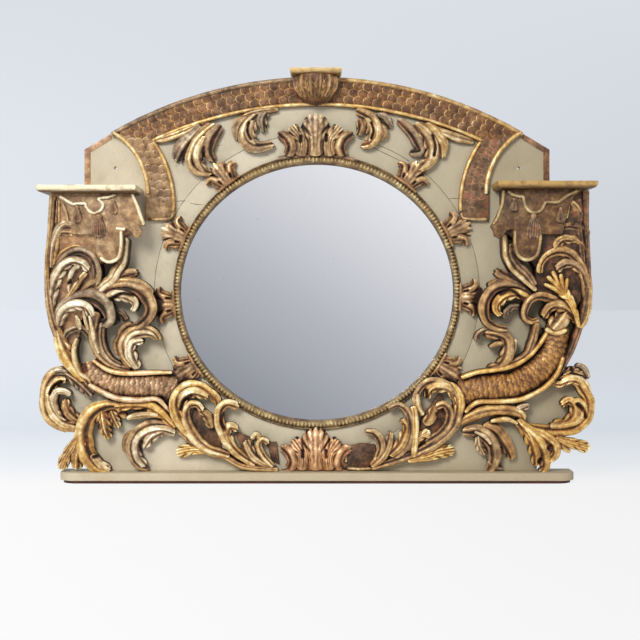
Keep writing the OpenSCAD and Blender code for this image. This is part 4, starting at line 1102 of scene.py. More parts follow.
@dataclass
class Panel:
    """The arched back panel, the loose oval frame board and the base board."""

    base_top: float = 30.0
    base_foot: float = 8.0
    shoulder: float = 644.0
    arch: tuple[float, float] = ARCH
    recess: tuple[float, float] = (450.8, 440.8)
    oval: tuple[float, float] = (449.8, 439.8)
    opening: tuple[float, float] = (382.0, 358.0)
    screws: tuple[float, float, float] = (558.0, 868.0, 4.0)
    base_width: float = 1416.0
    edge_strip: tuple[float, ...] = (644, 790, 644, 919, 570, 963, 566, 948, 627, 911, 627, 790)
    cracks: tuple[tuple[float, ...], ...] = (
        (363, 782, 380, 784, 400, 783), (-390, 775, -375, 777, -362, 776), (-352, 771, -332, 767, -312, 766),
        (152, 926, 195, 905, 248, 879), (-352, 905, -300, 925, -262, 932))

    def outline(self) -> list[tuple[float, float]]:
        """Draw the panel: sides behind the carving, shoulders, chamfers and the crown."""
        radius, centre = self.arch
        half = [(0, self.base_top), (606, self.base_top), (618, 60), (634, 96), (646, 126),
                *arc(690, 224, 66, -62, 62, 16), (674, 342), (692, 375), (707, 408), (718, 442), (728, 510),
                (732, 590), (728, 670), (723, 730), (722, 785), (self.shoulder, 785), (self.shoulder, 919), (570, 963),
                *((x, centre + math.sqrt(radius**2 - x**2)) for x in np.linspace(566, 8, 60))]
        return half + [(0, centre + radius)] + [(-x, z) for x, z in half[:0:-1]]

    def base_plan(self) -> list[tuple[float, float]]:
        """Draw the base board's plan with its rounded front corners."""
        w, front, r = self.base_width / 2, -6, 42
        loop = arc(w - r, front + r, r, -90, 0, 12) + [(w, 90), (-w, 90)] + arc(-w + r, front + r, r, 180, 270, 12)
        return anticlockwise(loop)

    def build(self, paints: Paints, bench: Bench) -> None:
        """Make the boards, with the shoulders' gilded edges and the panel's cracks."""
        x, height, radius = self.screws
        holes = [ellipse(*self.recess)] + [arc(side, height, radius, 0, 360, 16)[:-1] for side in (-x, x)]
        panel = board("painted_panel", anticlockwise(self.outline()), PANEL_FACE, PANEL_BACK, 0.9, holes)
        finish_piece(panel, paints.of(STONE), ["back_panel"])
        oval = board("oval_board", ellipse(*self.oval), PANEL_FACE, PANEL_BACK, 0.7, [ellipse(*self.opening)])
        finish_piece(oval, paints.of(STONE), ["oval_frame"])
        base = board("base_moulding", self.base_plan(), self.base_top, self.base_foot, 3.5, lie_flat=True)
        finish_piece(base, paints.of(BASE_STONE), ["base_board"])
        # The right strip's lower tone is painted shade, the light falling from the left.
        for side, sign, tone in (("right", 1, -0.4), ("left", -1, 0.1)):
            line = anticlockwise(pairs(*self.edge_strip) * [sign, 1])
            strip = board(f"shoulder_edge_{side}", line, PANEL_FACE - 0.8, PANEL_FACE + 0.4, 0.3, tone=tone)
            finish_piece(strip, paints.of(EDGE_GILT))
        bench.carve("panel_cracks", [Stroke(RIM, 0, 0, (0.3, 0.3), (0.5, 0.9, 0.3), pairs(*line), seat=-1.1)
                                     for line in self.cracks])


@dataclass
class SightMoulding:
    """The ribbed moulding round the glass."""

    inner: tuple[float, float] = (378.0, 354.0)
    outer: tuple[float, float] = RING
    lip: tuple[float, float] = (381.5, 357.5)
    height: float = 18.0
    rebate: float = 3.8
    rib_line: tuple[float, float] = (386.2, 365.5)
    rib_depth: float = 31.5
    ribs: int = 236

    def build(self, paints: Paints) -> None:
        """Sweep the moulding's section and set its ribs."""
        section = [(0, -0.4), (0, 0.42), (0.06, 0.62), (0.16, 0.86), (0.3, 0.96), (0.45, 0.92), (0.6, 0.76),
                   (0.7, 0.5), (0.76, 0.4), (0.82, 0.5), (0.9, 0.52), (0.97, 0.42), (1.0, 0.2), (1.0, -0.02),
                   (0.5, -0.02), (0.3, -0.4)]
        count, m = 256, len(section)
        turns = np.linspace(0, 2 * math.pi, count, endpoint=False)
        points = np.zeros((count, m, 3))
        for k, (share, rise) in enumerate(section):
            a, b = (low + (high - low) * share for low, high in zip(self.inner, self.outer))
            points[:, k] = np.stack([a * np.cos(turns), np.full(count, PANEL_FACE - self.height * rise),
                                     OVAL_HEIGHT + b * np.sin(turns)], axis=1)
        points[:, 0, 1] = points[:, -1, 1] = PANEL_FACE + self.rebate
        points[:, -1, 0], points[:, -1, 2] = self.lip[0] * np.cos(turns), OVAL_HEIGHT + self.lip[1] * np.sin(turns)
        points[:, -3:-1, 1] = PANEL_FACE + 0.4
        index = np.arange(count * m).reshape(count, m)
        after = np.roll(index, -1, axis=1)
        faces = np.stack([index, after, np.roll(after, -1, axis=0), np.roll(index, -1, axis=0)], axis=-1)
        # The top of the section is marked brighter and its foot and rebate darker: painted highlight and shade.
        marks = {"crest": np.tile([0.55 * rise - 0.3 if rise > 0 else -0.4 for _, rise in section], count)}
        ring = build_object("sight_ring", points.reshape(-1, 3) / 1000, [faces.reshape(-1, 4)], marks)
        face_outwards(ring)
        finish_piece(ring, paints.of(BEADS), ["sight_moulding"])
        turns = np.linspace(0, 2 * math.pi, self.ribs, endpoint=False)
        a, b = self.rib_line
        spots = np.stack([a * np.cos(turns), np.full(self.ribs, self.rib_depth), OVAL_HEIGHT + b * np.sin(turns)],
                         axis=1)
        facing = np.arctan2(-np.sin(turns) / b, np.cos(turns) / a)
        rib = Repeat((7.8, 5.8, 4.0), front_light=0.55, variety=0.1)
        ribs = rib.set_out("sight_ribs", paints.of(BEADS), spots / 1000, facing)
        finish_piece(ribs, paints.of(BEADS))


@dataclass
class ArchBand:
    """The scaled band along the arch with a leg at each end and gilded fillets at its edges.

    A circle is its radius and the height of its middle; an arc is its middle, radius and two angles.
    """

    outer: tuple[float, float] = ARCH
    inner: tuple[float, float] = (1079.0, -41.0)
    ground: float = 12.0
    pitch: float = 27.0
    rows: tuple[float, float, float] = (0.24, 0.5, 0.76)
    first_scale: float = 62.0
    scale_lift: float = 0.6
    outer_end: float = 570.0
    inner_end: float = 450.0
    row_radius: float = 1100.0
    outer_leg: tuple[float, ...] = (663, 797, 190, 121, 180)
    inner_leg: tuple[float, ...] = (698, 765, 307, 144.9, 183.6)
    outer_rim: tuple[float, ...] = (663, 797, 196, 121, 180)
    inner_rim: tuple[float, ...] = (698, 765, 302, 145, 183)
    toe_rim: tuple[float, ...] = (398, 742, 402, 730, 416, 726, 440, 725, 466, 725)

    def _height(self, circle: tuple[float, float], x: np.ndarray) -> np.ndarray:
        """Give the height of one of the arch's circles at some places across."""
        return circle[1] + np.sqrt(circle[0] ** 2 - np.asarray(x, dtype=float) ** 2)

    def _crown(self, circle: tuple[float, float], first: float, last: float, count: int = 40) -> np.ndarray:
        """Draw part of one of the arch's circles between two places across."""
        x = np.linspace(first, last, count)
        return np.stack([x, self._height(circle, x)], axis=1)

    def _leg(self) -> list[tuple[float, float]]:
        """Draw the right leg: inner arc, rounded toe and outer arc."""
        x, z, radius, top, foot = self.outer_leg
        return [(self.outer_end, 964), (self.inner_end, 941), *arc(*self.inner_leg, 24),
                *arc(416.5, 746, 25, 190, 270, 8), (474, 721), (474, 792), *arc(x, z, radius, foot, top, 24)]

    def _band_guide(self, sign: int) -> tuple[np.ndarray, np.ndarray]:
        """Place three staggered rows of scales on one half of the band."""
        spots = []
        for row, share in enumerate(self.rows):
            x = self.first_scale + (row % 2) * self.pitch / 2
            while x < self.inner_end + (self.outer_end - self.inner_end) * share - 12:
                height = share * self._height(self.outer, x) + (1 - share) * self._height(self.inner, x)
                spots.append((sign * x, height))
                x += self.pitch * math.cos(math.asin(x / self.row_radius))
        spots = np.array(spots)
        return spots, np.arcsin(spots[:, 0] / self.row_radius)

    def _leg_guide(self, sign: int) -> tuple[np.ndarray, np.ndarray]:
        """Place three rows of scales down a leg."""
        outer, inner = (np.array(arc(*line, 18)) for line in (self.outer_leg, self.inner_leg))
        spots, turns = [], []
        for row, share in enumerate(self.rows):
            line = (outer * share + inner * (1 - share))[1 + row % 2 :: 2]
            way = np.gradient(line, axis=0)
            spots.append(line)
            turns.append(np.arctan2(way[:, 1], -way[:, 0]))
        return np.concatenate(spots) * [sign, 1], sign * np.concatenate(turns)

    def _fillets(self, sign: int) -> dict[str, list[Stroke]]:
        """List the fillets on one side: along both edges of the band and round its leg."""
        def fillet(tone: float, gold: float, height: float, half: float, line: Drawn) -> Stroke:
            """List one even fillet from its line on the right side."""
            return lay(RIM, tone, gold, (height, height), (half, half), *(np.array(line) * [sign, 1]).ravel())

        tone, gold = (30, 20) if sign < 0 else (60, 60)
        outer = self._crown(self.outer, 2, self.outer_end - 4, 14) - [0, 6]
        inner = self._crown(self.inner, 2, self.inner_end + 2, 12) + [0, 4.5]
        return {
            "outer_fillet": [fillet(tone, gold, 20, 6.2, outer)],
            "inner_fillet": [fillet(85, 80, 20, 5, inner)],
            "leg_fillets": [fillet(95, 70, 20, 6, arc(*self.outer_rim, 10)),
                            fillet(75, 80, 20, 5, arc(*self.inner_rim, 10)),
                            fillet(50, 50, 18, 4, pairs(*self.toe_rim))]}

    def build(self, paints: Paints, bench: Bench) -> None:
        """Make the band's grounds and scales and carve its fillets."""
        face = PANEL_FACE - self.ground
        scale = Repeat((17.0, 3.4, 13.6), 7, 14, 7, edge_light=1.0)
        flat = Repeat((16.5, 2.2, 13.5), 4, 14, 7, edge_light=0.95)
        for side, sign in (("left", -1), ("right", 1)):
            crown = np.concatenate([self._crown(self.outer, 0, self.outer_end),
                                    self._crown(self.inner, self.inner_end, 0)])
            leg_finishes = (LEG_GROUND, LEG) if sign < 0 else (LEG_RED, LEG_RED)
            for kind, loop, form, (spots, facing), finishes, node in (
                    ("band", crown, scale, self._band_guide(sign), (BAND_GROUND, BAND), "arch_band"),
                    ("leg", self._leg(), flat, self._leg_guide(sign), leg_finishes, "arch_leg")):
                ground, scales = (paints.of(finish) for finish in finishes)
                outline = anticlockwise(np.array(loop) * [sign, 1])
                plate = board(f"{kind}_ground_{side}", outline, face, PANEL_FACE + LET_IN, 0.8)
                finish_piece(plate, ground, [f"{node}_{side}"])
                depth = np.full(len(spots), face + self.scale_lift)
                guide = np.stack([spots[:, 0], depth, spots[:, 1]], axis=1) / 1000
                made = form.set_out(f"{kind}_scales_{side}", scales, guide, facing)
                finish_piece(made, scales)
            for name, strokes in self._fillets(sign).items():
                bench.carve(f"{name}_{side}", strokes)

    def deliver(self, paints: Paints, bench: Bench) -> None:
        """Make the carved fillets."""
        for side in ("left", "right"):
            for name in ("outer_fillet", "inner_fillet", "leg_fillets"):
                bench.deliver(f"{name}_{side}", paints.of(GILT), "gilt_wood")


# Carving

# Each row is one stroke: the values that lay() takes.
CONSOLES: dict[str, list[tuple]] = {
    "cheek_left": [
        (STEM, 50, 50, (98, 96, 90, 84, 76, 66, 54, 44, 38), (9, 8, 6, 6, 8, 12, 14, 9, 5), -712, 790, -718, 710,
         -729, 620, -731, 540, -722, 460, -700, 395, -672, 340, -640, 288, -626, 268),
        (STEM, 50, 60, (90, 90, 84), (7, 9, 7), -700, 772, -702, 740, -702, 700, -708, 650, -716, 600),
        (TONGUE, 95, 30, (94, 94), (2.5, 3, 2.5), -688, 765, -679, 742, -672, 715)],
    "console_leaves_left": [
        (TONGUE, 70, 20, (80, 86, 92, 96, 94), (6, 10, 14, 14, 9), -722, 590, -716, 640, -704, 680, -686, 704,
         -664, 706),
        (LEAF, 45, 40, (88, 90, 92), (8, 10, 8), -706, 668, -690, 684, -668, 684),
        (RIM, 30, 70, (78, 86, 84), 5, -718, 590, -700, 622, -680, 640, -655, 650, -640, 648),
        (ROLL, 35, 10, 86, (8, 11, 12, 11, 9), -722, 560, -708, 590, -690, 612, -665, 630, -640, 634, -615, 622,
         -602, 600, -598, 575, -600, 550),
        (LEAF, 97, 15, (66, 74, 80, 84, 80), 14, -728, 470, -722, 520, -710, 560, -690, 590, -665, 605, -640, 602,
         -625, 590),
        (TONGUE, 85, 20, (78, 82), 6, -672, 560, -660, 586, -645, 592),
        (STEM, 50, 60, (66, 76, 78), (6, 8, 7), -690, 495, -672, 515, -655, 540, -640, 562, -628, 575),
        (TONGUE, 80, 20, (66, 70), 6, -672, 520, -674, 540, -675, 562),
        (TONGUE, 60, 40, (68, 76), (5, 8, 6), -640, 530, -620, 548, -600, 560, -597, 575),
        (ROLL, 40, 5, 72, (9, 12, 17, 22, 21, 13), -716, 440, -706, 465, -690, 485, -665, 503, -640, 510, -610, 508,
         -585, 492, -572, 470, -570, 450, -580, 440),
        (LEAF, 100, 10, (60, 70, 76, 72), 13, -706, 432, -697, 462, -680, 480, -660, 487, -638, 486, -624, 478,
         -615, 462),
        (TONGUE, 90, 20, (64, 66), 6, -657, 460, -651, 441, -645, 422),
        (TONGUE, 60, 20, (64, 64), 7, -634, 474, -628, 445, -622, 422),
        (ROLL, 35, 0, (54, 60, 56), (7, 9, 8), -690, 400, -680, 415, -655, 425, -635, 420, -622, 405),
        (LEAF, 90, 95, (60, 58, 52, 44), 16, -707, 420, -701, 395, -692, 370, -678, 340, -662, 315, -645, 288),
        (TONGUE, 90, 50, (56, 54, 48, 42), 7, -655, 398, -664, 370, -662, 335, -648, 305, -625, 285, -620, 270)],
    "cheek_right": [
        (STEM, 40, 50, (98, 96, 92, 86, 78, 68, 56, 46, 40), (8, 7, 6, 6, 7, 9, 8, 7, 5), 726, 800, 727, 710, 732, 640,
         735, 560, 729, 480, 712, 415, 690, 352, 662, 300, 640, 276),
        (STEM, 35, 50, (92, 90, 84), (7, 9, 7), 708, 775, 712, 740, 710, 700, 716, 650, 722, 600)],
    "console_leaves_right": [
        (ROLL, 65, 60, 70, 10, 690, 470, 665, 492, 640, 505, 605, 512, 580, 500, 568, 475, 570, 455, 585, 445,
         600, 448),
        (LEAF, 60, 60, (58, 66, 72, 68), 14, 720, 440, 700, 460, 678, 480, 655, 485, 635, 480, 622, 462),
        (FAN, 100, 100, 80, (4, 7, 11, 15, 16), 714, 428, 702, 468, 688, 500, 668, 525, 648, 545),
        (TONGUE, 95, 95, (76, 78), (3, 5, 4), 684, 500, 650, 530, 618, 545),
        (TONGUE, 95, 95, (78, 80), (3, 5, 4), 680, 505, 650, 542, 626, 566),
        (TONGUE, 90, 90, (78, 80), (3, 5, 4), 678, 510, 655, 548, 640, 580),
        (TONGUE, 90, 90, (78, 80), (3, 5, 4), 676, 515, 666, 545, 662, 572),
        (TONGUE, 85, 90, (78, 78), 5, 674, 515, 676, 538, 680, 560),
        (ROLL, 75, 60, (78, 84, 86, 82, 74, 66), 12, 605, 575, 608, 600, 625, 622, 655, 634, 685, 628, 705, 610,
         720, 590, 730, 560, 735, 520, 735, 480, 728, 450, 718, 432),
        (LEAF, 65, 40, (80, 84, 82), (8, 13, 10), 735, 535, 724, 572, 702, 595, 677, 600, 658, 590),
        (LEAF, 60, 60, (84, 90, 88), 11, 645, 642, 665, 664, 695, 664),
        (TONGUE, 70, 60, (82, 88, 88), (5, 8, 6), 735, 615, 722, 648, 702, 666, 680, 672),
        (ROLL, 40, 45, (88, 92, 90), (8, 10, 8), 736, 678, 716, 695, 690, 702, 663, 700),
        (STEM, 60, 40, (90, 94), 11, 724, 715, 706, 745, 686, 768),
        (TONGUE, 95, 40, (92, 94), 3.5, 682, 758, 678, 742, 675, 724)],
    "branch_leaf_left": [
        (STEM, 50, 50, (68, 62, 56, 50, 44), (12, 14, 14, 12), -600, 470, -608, 440, -610, 410, -600, 370, -580, 340,
         -550, 322, -515, 312),
        (TONGUE, 97, 30, (74, 68, 60), 5, -618, 460, -610, 420, -606, 390, -595, 358),
        (ROLL, 45, 20, (58, 54, 50), (7, 9, 7), -585, 440, -590, 410, -585, 370, -565, 340, -540, 325),
        (LEAF, 15, 10, (34, 30), (9, 11, 8), -575, 468, -555, 468, -538, 462, -530, 452),
        (LEAF, 15, 10, (34, 30), (6, 8, 5), -572, 440, -562, 442, -550, 446),
        (ROLL, 40, 50, (60, 70, 72, 66, 56), (9, 13, 17, 15, 9), -595, 522, -570, 532, -540, 538, -510, 537, -480, 525,
         -460, 500, -455, 475, -465, 452, -485, 435, -505, 425),
        (ROLL, 40, 60, (56, 52, 46), (7, 9, 6), -505, 425, -525, 405, -535, 380, -530, 345, -515, 320),
        (FRINGE, 70, 60, (62, 66, 60), (9, 11, 9), -588, 538, -550, 553, -520, 556, -490, 550, -468, 540, -452, 520),
        (LEAF, 50, 50, (56, 62, 58), (8, 11, 9), -565, 546, -538, 563, -518, 573, -500, 577),
        (LEAF, 100, 25, 76, 11, -582, 505, -555, 514, -530, 512, -510, 506, -497, 494, -500, 478),
        (FRINGE, 30, 40, (46, 44), 11, -508, 440, -530, 425, -542, 400, -552, 378, -545, 350),
        (STEM, 85, 30, (76, 76, 72, 68), (8, 11, 15, 14), -520, 672, -525, 640, -530, 610, -545, 585, -560, 560,
         -580, 545, -598, 530)],
    "branch_leaf_right": [
        (ROLL, 45, 50, 68, 13, 585, 512, 560, 530, 520, 540, 485, 532, 462, 505, 456, 475, 465, 445, 490, 428,
         515, 423),
        (FRINGE, 45, 70, (58, 62, 56), (8, 10, 7), 468, 542, 500, 553, 540, 549, 568, 538),
        (LEAF, 45, 40, (60, 60), (9, 14, 11), 560, 545, 530, 560, 510, 570, 498, 578),
        (LEAF, 100, 95, 74, 12, 577, 508, 545, 518, 515, 512, 495, 495, 490, 478, 497, 466),
        (LEAF, 45, 10, (40, 44), (6, 8, 6), 555, 485, 535, 482, 520, 470, 515, 458),
        (STEM, 50, 60, (64, 56, 50, 44), (8, 10, 9, 7), 600, 440, 595, 415, 588, 385, 575, 355, 545, 335, 500, 318,
         470, 312),
        (TONGUE, 95, 50, (78, 74, 70), (5, 7, 6), 510, 680, 512, 650, 515, 620, 530, 590, 550, 570, 575, 548,
         595, 530),
        (STEM, 40, 30, (74, 72), (9, 11, 9), 528, 655, 532, 625, 548, 598, 572, 574, 592, 545)],
    "c_scroll_left": [
        (ROLL, 60, 50, 58, 10, -506, 320, -527, 350, -531, 378, -520, 404, -497, 420, -468, 424, -444, 414, -432, 396),
        (ROLL, 85, 40, 58, 11, -518, 345, -518, 380, -503, 402, -478, 410, -455, 408, -442, 398),
        (LEAF, 100, 20, (44, 54, 54), 14, -490, 314, -505, 340, -510, 365, -502, 384, -484, 390)],
    "c_scroll_right": [
        (ROLL, 55, 10, 50, (5, 7, 6), 436, 392, 445, 412, 470, 422, 500, 424),
        (LEAF, 70, 60, 58, 14, 460, 412, 490, 408, 515, 395, 520, 370, 515, 345, 500, 325, 475, 315),
        (TONGUE, 80, 50, (56, 54), (5, 6, 4), 506, 385, 490, 382, 474, 374),
        (LEAF, 75, 30, (46, 48), 9, 520, 345, 532, 365, 540, 390)],
    "scaled_horn_left": [
        (HORNED, 60, 40, 52, (26, 34, 37, 37, 38, 44), -645, 322, -605, 296, -550, 270, -480, 266, -425, 262,
         -397, 250),
        (RIM, 50, 40, (54, 58, 58, 48, 40), (6, 8, 8, 7, 4), -624, 271, -590, 253, -545, 234, -490, 229, -440, 231,
         -412, 206, -397, 188),
        (RIM, 65, 80, (56, 58, 54, 48), 7, -612, 338, -570, 311, -520, 302, -450, 304, -398, 304)],
    "scaled_horn_right": [
        (HORNED, 40, 55, (40, 46, 52, 54, 56, 60, 62, 58), (46, 46, 44, 44, 44, 43, 36, 26), 394, 236, 430, 254,
         490, 262, 545, 272, 600, 305, 640, 352, 654, 400, 662, 450),
        (RIM, 40, 60, (48, 56, 58), (6, 7, 6), 395, 290, 440, 305, 490, 312, 540, 325, 580, 350, 610, 385, 630, 415),
        (RIM, 30, 50, (44, 56, 56), (6, 7, 6), 405, 195, 440, 222, 500, 225, 560, 232, 620, 262, 655, 300, 672, 345),
        (RIM, 60, 40, (68, 66), (6, 8, 6), 622, 424, 650, 412, 678, 420),
        (LEAF, 40, 10, (66, 64), (14, 20, 16), 640, 425, 660, 448, 676, 470)],
    "ear_scroll_left": [
        (ROLL, 60, 60, (30, 38, 46, 46, 40, 36), 12, -665, 305, -690, 308, -720, 300, -739, 275, -746, 240, -744, 205,
         -734, 180, -712, 162, -690, 152, -660, 148),
        (FRINGE, 60, 50, (34, 38, 34), (6, 8, 6), -700, 316, -728, 308, -748, 282, -753, 242, -751, 203, -740, 172,
         -715, 153, -688, 143),
        (LEAF, 90, 50, (34, 44, 46, 40), 12, -690, 282, -712, 281, -729, 262, -735, 235, -727, 205, -712, 182,
         -695, 166, -668, 158),
        (TONGUE, 100, 15, (38, 46, 44), 11, -700, 176, -718, 200, -724, 225, -714, 249, -694, 251, -678, 243),
        (TWIN, 35, 15, (34, 40, 38), (12, 18, 14), -692, 302, -666, 286, -645, 268, -628, 250),
        (ROLL, 70, 0, (36, 40, 36), (6, 9, 7), -737, 298, -712, 306, -683, 302),
        (LEAF, 50, 60, (36, 40, 36), 13, -640, 165, -664, 178, -684, 200, -690, 222)],
    "ear_scroll_right": [
        (ROLL, 75, 90, (34, 42, 46, 46, 38), 14, 560, 160, 600, 150, 640, 145, 680, 145, 713, 155, 737, 180, 744, 205,
         744, 230, 730, 255, 715, 275, 690, 288, 665, 285),
        (LEAF, 75, 90, (38, 44, 42), 14, 650, 162, 685, 167, 703, 184, 706, 208, 692, 224, 678, 218),
        (TONGUE, 85, 80, (40, 46, 44), (7, 10, 8), 640, 156, 690, 162, 722, 178, 733, 205, 720, 224, 700, 221),
        (LEAF, 85, 75, 46, 11, 744, 235, 736, 262, 715, 280, 690, 282, 668, 272, 652, 274),
        (TWIN, 60, 60, (38, 38), (9, 12, 8), 676, 296, 698, 306, 722, 300),
        (LEAF, 50, 10, (36, 36), (8, 10, 7), 712, 322, 730, 312, 742, 292)],
}

